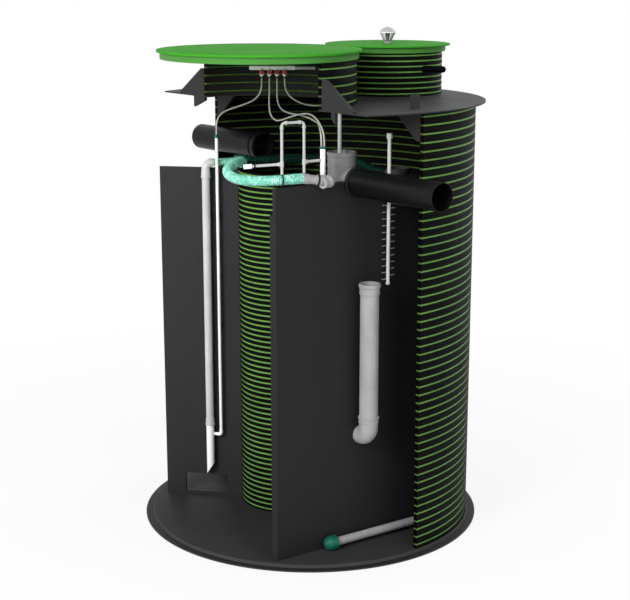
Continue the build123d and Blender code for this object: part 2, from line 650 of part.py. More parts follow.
# Clips that hold the airlift, its air pipe and the brush to the partitions
with BuildPart() as pipe_clips:
    for face, along, standoff, diameter, heights in (
            (on_left, AIRLIFT_ALONG, AIRLIFT_STANDOFF, PIPE50, (UPPER_CLIP_Z, LOWER_CLIP_Z)),
            (on_left, AIR_ALONG, AIRLIFT_STANDOFF, AIR_DIAMETER, (UPPER_CLIP_Z, LOWER_CLIP_Z)),
            (on_front, BRUSH_ALONG, BRUSH_STANDOFF, BRUSH_ROD, (BRUSH_BOTTOM + CLIP_HEIGHT, PEG_FIRST + PEG_PITCH))):
        heading = leftAlong if face is on_left else frontAlong
        for z in heights:
            with BuildSketch(Plane(origin=face(along, GAP, z), x_dir=heading, z_dir=(0, 0, 1))) as saddle:
                with Locations((0, -standoff / 2)):
                    Rectangle(diameter + 2 * CLIP_WALL, standoff)
                with Locations((0, -standoff + GAP)):
                    Circle(diameter / 2 + GAP, mode=Mode.SUBTRACT)
            extrude(saddle.sketch, amount=CLIP_HEIGHT)
save(pipe_clips, "pipe_clips")

# Overflow elbow that lies on the front partition's top edge: spigot, ball body and a mouth toward the front
elbowZ = frontPartitionTop + ELBOW_RADIUS + GAP
elbowCentre = on_front(ELBOW_ALONG, -PARTITION_THICKNESS / 2, elbowZ)
spigotStart = on_front(SPIGOT_ALONG, -PARTITION_THICKNESS / 2, elbowZ)
mouth = Vector(ELBOW_MOUTH_X, -1, ELBOW_MOUTH_Z).normalized()
with BuildPart() as overflow_elbow:
    with Locations(elbowCentre):
        Sphere(ELBOW_RADIUS)
    rod(spigotStart, frontAlong, HOSE, ELBOW_ALONG - SPIGOT_ALONG)
    rod(elbowCentre, mouth, HOSE, ELBOW_MOUTH)
    rod(spigotStart, frontAlong, HOSE - 2 * SPIGOT_WALL, ELBOW_ALONG - SPIGOT_ALONG, Mode.SUBTRACT)
    rod(elbowCentre, mouth, HOSE - 2 * SPIGOT_WALL, ELBOW_MOUTH, Mode.SUBTRACT)
save(overflow_elbow, "overflow_elbow")
# Rear pipe that the second hose runs to, with a rim on top and a stub for the hose
rearStub = Vector(REAR_PIPE_X, REAR_PIPE_Y, columnTop - REAR_STUB_DROP)
rearStubOut = unit(REAR_STUB_ANGLE)
with BuildPart() as rear_pipe:
    tube(Vector(REAR_PIPE_X, REAR_PIPE_Y, floorTop), (0, 0, 1), REAR_PIPE, PIPE160_WALL, INNER_HEIGHT)
    tube(Vector(REAR_PIPE_X, REAR_PIPE_Y, floorTop + INNER_HEIGHT - REAR_RIM_HEIGHT), (0, 0, 1),
         REAR_PIPE + 2 * REAR_RIM_WALL, REAR_RIM_WALL + PIPE160_WALL, REAR_RIM_HEIGHT)
    rod(rearStub + rearStubOut * (REAR_PIPE / 2 - REAR_STUB_DEPTH), rearStubOut, HOSE, REAR_STUB_DEPTH + REAR_STUB_REACH)
save(rear_pipe, "rear_pipe")


def hose(name, diameter, points):
    # A free hose as a plain round bar: straight runs joined by arcs as large as the two runs allow
    route = [Vector(*point) for point in points]
    radii = []
    for before, here, after in zip(route, route[1:], route[2:]):
        turn = math.radians((here - before).get_angle(after - here))
        radii.append(0.45 * min((here - before).length, (after - here).length) / math.tan(turn / 2))
    with BuildPart() as piece:
        with BuildLine() as path:
            FilletPolyline(*route, radius=radii)
        centreline = path.wire()
        with BuildSketch(Plane(origin=centreline @ 0, z_dir=centreline % 0)) as section:
            Circle(diameter / 2)
        sweep(section.sketch, path=centreline)
    expected = math.pi * diameter ** 2 / 4 * centreline.length
    print(name, "length", round(centreline.length), "smallest radius", round(min(radii)), "largest", round(max(radii)),
          "volume ratio", round(piece.part.volume / expected, 4))
    save(piece, name)


# Corrugated hose from the overflow elbow's spigot, round the end of the partition and back to the coupling
spigotLead = on_front(SPIGOT_ALONG - 75, -PARTITION_THICKNESS / 2, elbowZ)
tieRunEnd = Vector(-188, -908, elbowZ - 2)
hose("mint_hose", HOSE, [
    spigotStart - frontAlong * GAP, spigotLead, tieRunEnd, (-288, -897, elbowZ - 7.3), (-377, -850, elbowZ - 7.3), (-438, -771, elbowZ + 2.7),
    (-462, -674, couplingZ + 54.7), (-450, -576, couplingZ + 67.7), (-424, -480, couplingZ + 73.7), (-406, -382, couplingZ + 68.7), (-399, -282, couplingZ + 53.7),
    (-403, -182, couplingZ + 34.7), (-414, -84, couplingZ + 18.7), couplingCentre + mintHeading * (COUPLING_REACH + GAP + 96),
    couplingCentre + mintHeading * (COUPLING_REACH + GAP)])

# Second corrugated hose, over the column's rim to the rear pipe
rearEnd = rearStub + rearStubOut * (REAR_PIPE / 2 + REAR_STUB_REACH + GAP)
hose("rear_hose", HOSE, [
    couplingCentre + rearHeading * (COUPLING_REACH + GAP), couplingCentre + rearHeading * (COUPLING_REACH + GAP + 92),
    (-203, 190, couplingZ - 0.3), (-110, 228, couplingZ - 2.3), (-22, 276, couplingZ - 3.3), (68, 315, couplingZ - 3.3), (164, 324, couplingZ - 4.3), (256, 295, couplingZ - 14.3),
    (336, 239, couplingZ - 36.3), rearEnd + rearStubOut * 80, rearEnd])

# Tie round the first hose, at the middle of one of its runs
tieRun = tieRunEnd - spigotLead
tiePoint = (spigotLead + tieRunEnd) * 0.5
# Small pipe frame that stands on the tie and on the spigot, with a link to the riser and a capped branch
frameLeft = Vector(tiePoint.X, tiePoint.Y, tiePoint.Z + HOSE / 2 + TIE_WALL + GAP)
frameRight = on_front(FRAME_RIGHT_ALONG, -PARTITION_THICKNESS / 2, elbowZ + HOSE / 2 + GAP)
riserPlan = Vector(elbowCentre.X, elbowCentre.Y, 0)
linkZ = elbowZ + LINK_RISE
branchZ = elbowZ + BRANCH_RISE
linkStart = Vector(frameRight.X, frameRight.Y, linkZ)
linkRun = riserPlan + Vector(0, 0, linkZ) - linkStart
branchHeading = Vector(-1, 0, BRANCH_SLOPE).normalized()
branchStart = Vector(frameLeft.X, frameLeft.Y, branchZ)
frameTop = elbowZ + FRAME_RISE
frameTopLeft = Vector(frameLeft.X, frameLeft.Y, frameTop)
frameTopRight = Vector(frameRight.X, frameRight.Y, frameTop)
with BuildPart() as pipe_frame:
    rod(frameLeft, (0, 0, 1), SMALL_PIPE, frameTop - frameLeft.Z)
    rod(frameRight, (0, 0, 1), SMALL_PIPE, frameTop - frameRight.Z)
    rod(frameTopLeft, (frameTopRight - frameTopLeft).normalized(), SMALL_PIPE, (frameTopRight - frameTopLeft).length)
    with Locations(frameTopLeft, frameTopRight):
        Sphere(SMALL_FITTING / 2)
    rod(linkStart, linkRun.normalized(), SMALL_PIPE, linkRun.length - RISER / 2 - GAP)
    rod(branchStart, branchHeading, SMALL_PIPE, BRANCH_LENGTH)
    rod(branchStart - Vector(0, 0, SMALL_FITTING_LENGTH / 2), (0, 0, 1), SMALL_FITTING, SMALL_FITTING_LENGTH)
    rod(linkStart - Vector(0, 0, SMALL_FITTING_LENGTH / 2), (0, 0, 1), SMALL_FITTING, SMALL_FITTING_LENGTH)
save(pipe_frame, "pipe_frame")
with BuildPart() as rubber_rings:
    tube(tiePoint, tieRun.normalized(), HOSE + 2 * TIE_WALL, TIE_WALL - GAP, TIE_WIDTH)
    tube(on_front(RING_ALONG, -PARTITION_THICKNESS / 2, elbowZ), frontAlong, 2 * RING_RADIUS,
         RING_RADIUS - HOSE / 2 - GAP, RING_WIDTH)
    tube(branchStart + branchHeading * (BRANCH_LENGTH - 2 * BRANCH_RING_LENGTH), branchHeading, 2 * BRANCH_RING_RADIUS,
         BRANCH_RING_RADIUS - SMALL_PIPE / 2 - GAP, BRANCH_RING_LENGTH)
save(rubber_rings, "rubber_rings")
with BuildPart() as branch_cap:
    rod(branchStart + branchHeading * (BRANCH_LENGTH + GAP), branchHeading, SMALL_FITTING, BRANCH_CAP_LENGTH)
save(branch_cap, "branch_cap")

# Riser on top of the overflow elbow
riserTopZ = elbowZ + RISER_RISE
riserBottom = elbowZ + math.sqrt(ELBOW_RADIUS ** 2 - (RISER / 2 - AIR_WALL) ** 2) + GAP
with BuildPart() as riser_pipe:
    tube(riserPlan + Vector(0, 0, riserBottom), (0, 0, 1), RISER, AIR_WALL, riserTopZ - riserBottom)
save(riser_pipe, "riser_pipe")

# Air manifold: a bar that ends on the inside of the large shaft, valves below it and their knobs in front
wallReach = MANIFOLD_Y + MANIFOLD_DIAMETER / 2 - SHAFT_Y
manifoldRight = SHAFT_X + math.sqrt((SHAFT_RADIUS - SHAFT_WALL) ** 2 - wallReach ** 2) - GAP
valveTop = MANIFOLD_Z - MANIFOLD_DIAMETER / 2 - GAP
valvePlaces = [VALVE_X + k * VALVE_PITCH for k in range(VALVE_COUNT)]
hoseTop = valveTop - VALVE_HEIGHT - GAP - COLLAR_HEIGHT
with BuildPart() as manifold_bar:
    tube(Vector(MANIFOLD_LEFT, MANIFOLD_Y, MANIFOLD_Z), (1, 0, 0), MANIFOLD_DIAMETER, PIPE50_WALL,
         manifoldRight - MANIFOLD_LEFT)
save(manifold_bar, "manifold_bar")
with BuildPart() as valve_bodies:
    for x in valvePlaces:
        rod(Vector(x, MANIFOLD_Y, valveTop), (0, 0, -1), VALVE_DIAMETER, VALVE_HEIGHT)
save(valve_bodies, "valve_bodies")
with BuildPart() as valve_knobs:
    for x in valvePlaces:
        rod(Vector(x, MANIFOLD_Y - VALVE_DIAMETER / 2 - GAP, valveTop - KNOB_DROP), (0, -1, 0), KNOB_DIAMETER,
            KNOB_LENGTH)
save(valve_knobs, "valve_knobs")

fittingZ = shellTop - FITTING_DROP
# Collars that the air hoses end in, and the block under the cover plate that takes the fourth one
airPipeTop = on_left(AIR_ALONG, AIRLIFT_STANDOFF, airTop)
riserTop = riserPlan + Vector(0, 0, riserTopZ)
with BuildPart() as hose_collars:
    for x in valvePlaces:
        rod(Vector(x, MANIFOLD_Y, hoseTop), (0, 0, 1), HOSE_COLLAR, COLLAR_HEIGHT)
    rod(airPipeTop + Vector(0, 0, GAP), (0, 0, 1), AIR_DIAMETER + 4, TALL_COLLAR_HEIGHT)
    rod(riserTop + Vector(0, 0, GAP), (0, 0, 1), RISER + 4, COLLAR_HEIGHT)
    with BuildSketch(Plane(origin=(FITTING_X, FITTING_Y, fittingZ), x_dir=(0, 1, 0), z_dir=(1, 0, 0))) as block:
        with Locations((0, (shellTop - GAP - fittingZ) / 2 - FITTING_SIZE / 4)):
            Rectangle(FITTING_SIZE, shellTop - GAP - fittingZ + FITTING_SIZE / 2)
    extrude(block.sketch, amount=FITTING_SIZE)
save(hose_collars, "hose_collars")

# Four thin air hoses from the valves down into the tank
airPipeEnd = airPipeTop + Vector(0, 0, GAP + TALL_COLLAR_HEIGHT)
riserEnd = riserTop + Vector(0, 0, GAP + COLLAR_HEIGHT)
valveEnds = [Vector(x, MANIFOLD_Y, hoseTop) for x in valvePlaces]
hose("air_hose_1", AIR_HOSE, [
    valveEnds[0], valveEnds[0] - Vector(0, 0, 46), (-309, 133, plateTop + 19), (-338, 130, plateTop - 18), (-381, 122, plateTop - 40),
    (-425, 112, plateTop - 55), (-467, 100, plateTop - 68), (-509, 85, plateTop - 81), (-547, 67, plateTop - 100), (-571, 52, plateTop - 136),
    airPipeEnd + Vector(0, 0, 46), airPipeEnd])
hose("air_hose_2", AIR_HOSE, [
    valveEnds[1], valveEnds[1] - Vector(0, 0, 76), (-256, 132, plateTop - 44), (-249, 118, plateTop - 116), (-210, 68, plateTop - 147),
    (-170, 4, plateTop - 132), (-140, -64, plateTop - 115), (-113, -133, plateTop - 99), (-87, -204, plateTop - 84), (-63, -275, plateTop - 71), (-41, -347, plateTop - 60),
    (-21, -419, plateTop - 51), (0, -493, plateTop - 45), (19, -566, plateTop - 44), (39, -638, plateTop - 51), (60, -700, plateTop - 69),
    (82, -742, plateTop - 110), riserEnd + Vector(AIR_HOSE_SPREAD, 0, 46), riserEnd + Vector(AIR_HOSE_SPREAD, 0, 0)])
hose("air_hose_3", AIR_HOSE, [
    valveEnds[2], valveEnds[2] - Vector(0, 0, 72), (-205, 126, plateTop - 32), (-180, 78, plateTop - 76), (-144, 14, plateTop - 87),
    (-114, -52, plateTop - 88), (-89, -119, plateTop - 85), (-65, -187, plateTop - 82), (-42, -255, plateTop - 80), (-19, -324, plateTop - 79), (2, -393, plateTop - 79),
    (20, -463, plateTop - 81), (35, -533, plateTop - 82), (48, -596, plateTop - 82), (57, -658, plateTop - 83), (63, -708, plateTop - 95), (70, -745, plateTop - 122),
    riserEnd + Vector(-AIR_HOSE_SPREAD, 0, 40), riserEnd - Vector(AIR_HOSE_SPREAD, 0, 0)])
hose("air_hose_4", AIR_HOSE, [
    valveEnds[3], valveEnds[3] - Vector(0, 0, 59), (-130, 136, plateTop - 2), (-80, 140, plateTop - 36), (-23, 146, plateTop - 56),
    (36, 152, plateTop - 61), (95, 158, plateTop - 58), (154, 165, plateTop - 49), (212, 175, plateTop - 38), (271, FITTING_Y, fittingZ),
    (FITTING_X, FITTING_Y, fittingZ)])

# Conduit stub that leaves the small shaft's wall, with a domed end
stubHeading = unit(STUB_HEADING)
stubStart = Vector(SMALL_X, SMALL_Y, STUB_Z) + unit(STUB_ANGLE) * (SMALL_RADIUS - SMALL_WALL)
with BuildPart() as conduit_stub:
    rod(stubStart, stubHeading, STUB_DIAMETER, STUB_LENGTH)
    with Locations(stubStart + stubHeading * STUB_LENGTH):
        Sphere(STUB_DIAMETER / 2)
    rod(Vector(SMALL_X, SMALL_Y, plateTop), (0, 0, 1), 2 * (SMALL_RADIUS + GAP), SHAFT_HEIGHT, Mode.SUBTRACT)
save(conduit_stub, "conduit_stub")
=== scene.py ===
# Packaged sewage treatment plant, cut open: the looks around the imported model
import bpy
import bmesh
import json
import math
from mathutils import Matrix, Quaternion, Vector

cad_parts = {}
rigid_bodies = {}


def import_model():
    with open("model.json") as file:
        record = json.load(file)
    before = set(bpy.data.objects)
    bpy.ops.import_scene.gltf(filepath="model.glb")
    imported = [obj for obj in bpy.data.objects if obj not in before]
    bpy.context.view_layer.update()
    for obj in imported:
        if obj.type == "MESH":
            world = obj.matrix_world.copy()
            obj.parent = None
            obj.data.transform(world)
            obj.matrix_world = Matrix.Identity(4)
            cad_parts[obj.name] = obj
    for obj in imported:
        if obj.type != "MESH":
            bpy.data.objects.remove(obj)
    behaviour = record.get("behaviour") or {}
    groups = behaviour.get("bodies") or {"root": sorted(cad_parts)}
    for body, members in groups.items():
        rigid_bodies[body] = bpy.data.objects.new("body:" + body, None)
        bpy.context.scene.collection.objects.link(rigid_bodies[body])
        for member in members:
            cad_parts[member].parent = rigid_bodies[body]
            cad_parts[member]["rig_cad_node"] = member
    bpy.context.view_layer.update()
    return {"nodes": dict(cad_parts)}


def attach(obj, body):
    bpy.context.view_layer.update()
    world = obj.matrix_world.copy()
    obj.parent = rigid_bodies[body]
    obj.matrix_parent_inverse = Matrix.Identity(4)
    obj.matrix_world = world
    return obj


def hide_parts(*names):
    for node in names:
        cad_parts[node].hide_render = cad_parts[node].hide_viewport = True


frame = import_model()
nodes = frame["nodes"]
print("frame loaded:", len(nodes), "nodes")


class Signal:
    # one socket of a shader, so that sums and products on it become Math nodes
    def __init__(self, tree, socket):
        self.tree = tree
        self.socket = socket

    def step(self, operation, other, flip=False):
        order = [other, self] if flip else [self, other]
        made = addNode(self.tree, "ShaderNodeMath", dict(enumerate(order)), operation=operation)
        return Signal(self.tree, made.outputs[0])

    def __add__(self, other):
        return self.step("ADD", other)

    def __radd__(self, other):
        return self.step("ADD", other, True)

    def __sub__(self, other):
        return self.step("SUBTRACT", other)

    def __rsub__(self, other):
        return self.step("SUBTRACT", other, True)

    def __mul__(self, other):
        return self.step("MULTIPLY", other)

    def __rmul__(self, other):
        return self.step("MULTIPLY", other, True)


def addNode(tree, kind, inputs=None, **settings):
    # a node with its settings first, then the values or links of its sockets
    made = tree.nodes.new(kind)
    for key, value in settings.items():
        setattr(made, key, value)
    for key, value in (inputs or {}).items():
        if isinstance(value, Signal):
            value = value.socket
        if hasattr(value, "is_output"):
            tree.links.new(value, made.inputs[key])
        else:
            made.inputs[key].default_value = value
    return made


class Surface:
    # a material on Object coordinates, with the few nodes that the finishes share
    def __init__(self, name, color, roughness, specular):
        self.material = bpy.data.materials.new(name)
        self.material.use_nodes = True
        self.material.diffuse_color = (*color, 1)
        self.tree = self.material.node_tree
        self.shader = self.tree.nodes["Principled BSDF"]
        self.shader.inputs["Base Color"].default_value = (*color, 1)
        self.shader.inputs["Roughness"].default_value = roughness
        self.shader.inputs["Specular IOR Level"].default_value = specular
        self.place = addNode(self.tree, "ShaderNodeTexCoord").outputs["Object"]

    def noise(self, scale, detail=3.0, stretch=(1, 1, 1)):
        mapping = addNode(self.tree, "ShaderNodeMapping", {"Vector": self.place, "Scale": stretch})
        made = addNode(self.tree, "ShaderNodeTexNoise",
                       {"Vector": mapping.outputs[0], "Scale": scale, "Detail": detail})
        return Signal(self.tree, made.outputs["Fac"])

    def blend(self, factor, low, high):
        made = addNode(self.tree, "ShaderNodeMix", {0: factor, 6: low, 7: high}, data_type="RGBA")
        return made.outputs[2]

    def ramp(self, signal, low, high):
        made = addNode(self.tree, "ShaderNodeMapRange", {"Value": signal, "From Min": low, "From Max": high})
        return Signal(self.tree, made.outputs[0])

    def paint(self, socket):
        self.tree.links.new(socket, self.shader.inputs["Base Color"])

    def rough(self, signal):
        self.tree.links.new(signal.socket, self.shader.inputs["Roughness"])

    def bump(self, signal, strength, distance):
        made = addNode(self.tree, "ShaderNodeBump", {"Height": signal, "Strength": strength, "Distance": distance})
        self.tree.links.new(made.outputs[0], self.shader.inputs["Normal"])


mottle = {"broad": 0.7, "fine": 0.3, "fineScale": 9, "low": 0.3, "high": 0.7, "glossScale": 3, "gloss": 0.14,
          "grain": 0.35}


def plastic(name, color, rough, spread=0.12, grain=260.0, relief=0.0002, patch=2.5, stretch=(1, 1, 1),
            specular=0.5):
    # moulded or extruded plastic: soft patches of tone, fine grain, slightly uneven gloss
    surface = Surface(name, color, rough, specular)
    broad = surface.noise(patch, detail=4.0, stretch=stretch) * mottle["broad"]
    fine = surface.noise(patch * mottle["fineScale"]) * mottle["fine"]
    low = (*[c * (1 - spread) for c in color], 1)
    high = (*[min(1.0, c * (1 + spread)) for c in color], 1)
    surface.paint(surface.blend(surface.ramp(broad + fine, mottle["low"], mottle["high"]), low, high))
    gloss = surface.noise(patch * mottle["glossScale"]) * mottle["gloss"]
    surface.rough(gloss + (rough - mottle["gloss"] / 2))
    surface.bump(surface.noise(grain, detail=2.0), mottle["grain"], relief)
    return surface.material


# crease noise drives the painted shade in the creases as well as their real bump
crease = {"scale": 85.0, "stretch": (1, 1, 1.6), "from": 0.34, "to": 0.5, "bump": 0.6, "depth": 0.003}
# ridge noise that places the painted highlights on the hose
highlightFold = {"scale": 26.0, "share": 0.5, "from": 0.5, "to": 0.66}
hoseGloss = {"base": 0.38, "scale": 40.0, "spread": 0.25, "low": 0.26, "specular": 0.35}


def creasedWithPaintedLight(name, dark, middle, pale):
    # thin-walled corrugated hose: its creases carry painted shade and its ridges painted highlights
    surface = Surface(name, middle, hoseGloss["base"], hoseGloss["specular"])
    creases = surface.noise(crease["scale"], detail=5.0, stretch=crease["stretch"])
    highlightFolds = surface.noise(highlightFold["scale"], detail=4.0) * highlightFold["share"] + creases * (1 - highlightFold["share"])
    # painted shade: the creases darken the colour
    tone = surface.blend(surface.ramp(creases, crease["from"], crease["to"]), (*dark, 1), (*middle, 1))
    # painted highlight on the ridges
    surface.paint(surface.blend(surface.ramp(highlightFolds, highlightFold["from"], highlightFold["to"]), tone, (*pale, 1)))
    surface.rough(surface.noise(hoseGloss["scale"]) * hoseGloss["spread"] + hoseGloss["low"])
    surface.bump(creases, crease["bump"], crease["depth"])
    return surface.material


finishes = {
    "band": {"color": (0.0026, 0.003, 0.0026), "rough": 0.52, "spread": 0.3,
             "grain": 160.0, "relief": 0.0003, "patch": 1.6, "stretch": (1, 1, 6), "specular": 0.03},
    # lighter copy of the band plastic for the large shaft's inner face: painted light
    "bandInsidePaintedLight": {"color": (0.012, 0.012, 0.0125), "rough": 0.5, "spread": 0.3,
                   "grain": 160.0, "relief": 0.0003, "patch": 1.6, "stretch": (1, 1, 6), "specular": 0.12},
    "cutBlack": {"color": (0.0015, 0.0015, 0.0015), "rough": 0.6, "spread": 0.2,
                 "grain": 160.0, "relief": 0.0003, "patch": 3.0, "specular": 0.02},
    "seam": {"color": (0.112, 0.25, 0.05), "rough": 0.46, "spread": 0.25,
             "grain": 220.0, "relief": 0.0003, "patch": 6.0, "specular": 0.14},
    # darker copy of the seam green for the inner and cut faces: painted shade
    "seamInsidePaintedShade": {"color": (0.06, 0.112, 0.024), "rough": 0.55, "spread": 0.25,
                   "grain": 220.0, "relief": 0.0003, "patch": 6.0, "specular": 0.08},
    "sheet": {"color": (0.0242, 0.0242, 0.0247), "rough": 0.52, "spread": 0.1,
              "grain": 300.0, "patch": 0.9, "specular": 0.11},
    # darker copy of the sheet plastic: painted shade on the front partition and the base's flange
    "sheetPaintedShade": {"color": (0.0155, 0.0155, 0.0157), "rough": 0.52, "spread": 0.1,
                  "grain": 300.0, "patch": 0.9, "specular": 0.12},
    "midGrey": {"color": (0.42, 0.42, 0.415), "rough": 0.42, "grain": 90.0,
                "relief": 0.0004, "patch": 14.0, "stretch": (1, 1, 0.5), "specular": 0.3},
    # near-black copy of the grey plastic for the rear pipe: painted shade
    "rearGreyPaintedShade": {"color": (0.045, 0.045, 0.045), "rough": 0.5, "spread": 0.15,
                "grain": 90.0, "relief": 0.0004, "patch": 14.0, "specular": 0.2},
    # darker copy of the grey plastic for the outlet tee: painted shade
    "teeGreyPaintedShade": {"color": (0.205, 0.205, 0.205), "rough": 0.46, "spread": 0.15,
                "grain": 90.0, "relief": 0.0006, "patch": 14.0, "stretch": (1, 1, 0.5), "specular": 0.22},
    # paler copy of the base plastic for the step and the flange's outer edge: painted highlight
    "step": {"color": (0.048, 0.048, 0.048), "rough": 0.5, "grain": 240.0,
             "patch": 1.2, "specular": 0.15},
    "base": {"color": (0.031, 0.031, 0.0312), "rough": 0.5, "grain": 240.0,
             "patch": 1.2, "specular": 0.05},
    "lid": {"color": (0.044, 0.272, 0.02), "rough": 0.5, "spread": 0.07,
            "grain": 280.0, "patch": 1.1, "specular": 0.008},
    # darker, duller copy of the lid green for the skirt and underside: painted shade
    "lidSkirtPaintedShade": {"color": (0.062, 0.226, 0.04), "rough": 0.46, "spread": 0.09,
                "grain": 280.0, "patch": 1.6, "specular": 0.08},
    "grey": {"color": (0.3, 0.3, 0.3), "rough": 0.46, "spread": 0.15,
             "grain": 90.0, "relief": 0.0006, "patch": 14.0, "stretch": (1, 1, 0.5), "specular": 0.28},
    "paleGrey": {"color": (0.52, 0.52, 0.515), "rough": 0.4, "spread": 0.14,
                 "grain": 90.0, "relief": 0.0005, "patch": 14.0, "stretch": (1, 1, 0.5), "specular": 0.3},
    "white": {"color": (0.9, 0.9, 0.895), "rough": 0.35, "spread": 0.03,
              "grain": 200.0, "patch": 8.0},
    "black": {"color": (0.0042, 0.0042, 0.0044), "rough": 0.36, "spread": 0.2,
              "patch": 3.0, "specular": 0.14},
    # dark copy of the mint hose for its rear stretch: painted shade
    "mintPaintedShade": {"color": (0.001, 0.0036, 0.003), "rough": 0.6, "spread": 0.4,
             "grain": 75.0, "relief": 0.001, "patch": 38.0, "specular": 0.05},
    # lighter rib crests on that stretch: painted highlight
    "mintCrestPaintedHighlight": {"color": (0.009, 0.08, 0.058), "rough": 0.5, "spread": 0.6,
                  "grain": 75.0, "relief": 0.001, "patch": 60.0, "specular": 0.1},
    "airHose": {"color": (0.375, 0.37, 0.335), "rough": 0.28, "spread": 0.08,
                "grain": 200.0, "patch": 8.0},
    "red": {"color": (0.4, 0.02, 0.026), "rough": 0.3, "grain": 200.0, "patch": 20.0},
    "cap": {"color": (0.0022, 0.098, 0.062), "rough": 0.4, "spread": 0.25,
            "grain": 220.0, "relief": 0.0004, "patch": 24.0, "specular": 0.3},
    "rubber": {"color": (0.008, 0.008, 0.008), "rough": 0.6, "spread": 0.2,
               "relief": 0.0004, "patch": 20.0, "specular": 0.2},
}
materials = {kind: plastic(kind, **finish) for kind, finish in finishes.items()}
materials["mint"] = creasedWithPaintedLight("mint", (0.06, 0.33, 0.24), (0.19, 0.56, 0.43), (0.6, 0.9, 0.8))
print("materials made:", len(materials))


up = Vector((0, 0, 1))


def facing(degrees):
    return Vector((math.cos(math.radians(degrees)), math.sin(math.radians(degrees)), 0))


def linked(name, data):
    made = bpy.data.objects.new(name, data)
    bpy.context.scene.collection.objects.link(made)
    return made


def piece(name, work, kinds, replaced, slotName, sharp=32):
    # a bmesh becomes a smooth mesh with hard edges where it turns, and a piece that rides on the part and stands
    # for its CAD nodes
    bmesh.ops.recalc_face_normals(work, faces=work.faces)
    for face in work.faces:
        face.smooth = True
    mesh = bpy.data.meshes.new(name)
    work.to_mesh(mesh)
    work.free()
    mesh.set_sharp_from_angle(angle=math.radians(sharp))
    made = linked(name, mesh)
    for kind in kinds:
        mesh.materials.append(materials[kind])
    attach(made, "root")
    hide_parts(*replaced)
    return made


def chain(work, verts, closed=False):
    # edges from each vertex to the next
    return [work.edges.new(pair) for pair in zip(verts, verts[1:] + verts[:1] if closed else verts[1:])]


def turned(work, profile, centre, steps):
    # spin a closed outline of (radius, height) round the vertical through centre
    verts = [work.verts.new((centre[0] + radius, centre[1], z)) for radius, z in profile]
    bmesh.ops.spin(work, geom=verts + chain(work, verts, True), cent=(*centre, 0), axis=(0, 0, 1),
                   angle=2 * math.pi, steps=steps, use_merge=True)


class Track:
    # a line through space that pipes follow
    def __init__(self, points):
        self.points = [Vector(p) for p in points]
        self.reach = [0.0]
        for a, b in zip(self.points, self.points[1:]):
            self.reach.append(self.reach[-1] + (b - a).length)
        self.length = self.reach[-1]

    def at(self, distance):
        distance = min(max(distance, 0.0), self.length)
        last = len(self.points) - 2
        run = next((k for k in range(last) if distance <= self.reach[k + 1]), last)
        share = (distance - self.reach[run]) / (self.reach[run + 1] - self.reach[run])
        return self.points[run].lerp(self.points[run + 1], share)

    def heading(self, distance, span=0.002):
        return (self.at(distance + span) - self.at(distance - span)).normalized()


def straight(start, way, length):
    return Track([start, start + way * length])


def bend(before, corner, after, radius, steps):
    # points of an arc that rounds one corner of a pipe
    into = (corner - before).normalized()
    out = (after - corner).normalized()
    turn = into.angle(out)
    first = corner - into * radius * math.tan(turn / 2)
    axis = into.cross(out).normalized()
    centre = first + axis.cross(into) * radius
    return [centre + Quaternion(axis, turn * k / steps) @ (first - centre) for k in range(steps + 1)]


def bentTrack(before, corner, after, radius, steps=12):
    # a track with one rounded corner, and how far the corner's arc is from its start
    arc = bend(before, corner, after, radius, steps)
    return Track([before] + arc + [after]), (arc[0] - before).length


steep = 0.99


def pipe(work, track, stations, bore=None, sides=40, index=0, crest=None):
    # extrude a circle along a track: stations are (distance, radius), bore is the radius inside,
    # and crest (every, at) gives one run of faces in so many the next material
    heading = track.heading(stations[0][0])
    upright = abs(heading.dot(up)) > steep
    side = heading.orthogonal().normalized() if upright else up.cross(heading).normalized()
    places = []
    for distance, _ in stations:
        heading = track.heading(distance)
        side = (side - heading * side.dot(heading)).normalized()
        turn = Matrix((side.cross(heading), side, heading)).transposed().to_4x4()
        places.append(Matrix.Translation(track.at(distance)) @ turn)
    rings = [place @ Matrix.Scale(radius, 4) for place, (_, radius) in zip(places, stations)]
    if bore:
        rings += [place @ Matrix.Scale(bore, 4) for place in reversed(places)]
    circle = bmesh.ops.create_circle(work, segments=sides, radius=1.0, matrix=rings[0])["verts"]
    first = list({edge for vert in circle for edge in vert.link_edges})
    loop = first
    for count, (before, after) in enumerate(zip(rings, rings[1:])):
        grown = bmesh.ops.extrude_edge_only(work, edges=loop)["geom"]
        bmesh.ops.transform(work, matrix=after @ before.inverted(),
                            verts=[part for part in grown if isinstance(part, bmesh.types.BMVert)])
        loop = [part for part in grown if isinstance(part, bmesh.types.BMEdge) and part.is_boundary]
        raised = crest and count % crest[0] == crest[1]
        for face in (part for part in grown if isinstance(part, bmesh.types.BMFace)):
            face.material_index = index + 1 if raised else index
    if bore:
        for face in bmesh.ops.bridge_loops(work, edges=first + loop)["faces"]:
            face.material_index = index
    else:
        for end in (first, loop):
            bmesh.ops.edgeloop_fill(work, edges=end, mat_nr=index)


def pipePiece(name, track, stations, kinds, replaced, slotName, bore=None, sides=40, sharp=32):
    # a piece that is one pipe
    work = bmesh.new()
    pipe(work, track, stations, bore, sides)
    return piece(name, work, kinds, replaced, slotName, sharp)


def spaced(low, high, count):
    return [low + (high - low) * k / count for k in range(count + 1)]


def fromEnd(length, marks):
    # stations given as (distance back from the end, radius)
    return [(length - back, radius) for back, radius in marks]


def elbowStations(spec, run, length):
    # stations of a pipe with one elbow: its start, the plain run, the collar and the elbow to its end
    radius, low, high, steps = spec["plain"]
    stations = spec["start"] + [(d, radius) for d in spaced(low, run - high, steps)] + fromEnd(run, spec["collar"])
    radius, low, high, steps = spec["elbow"]
    stations += [(d, radius) for d in spaced(run - low, length - high, steps)]
    return stations + fromEnd(length, spec["end"])


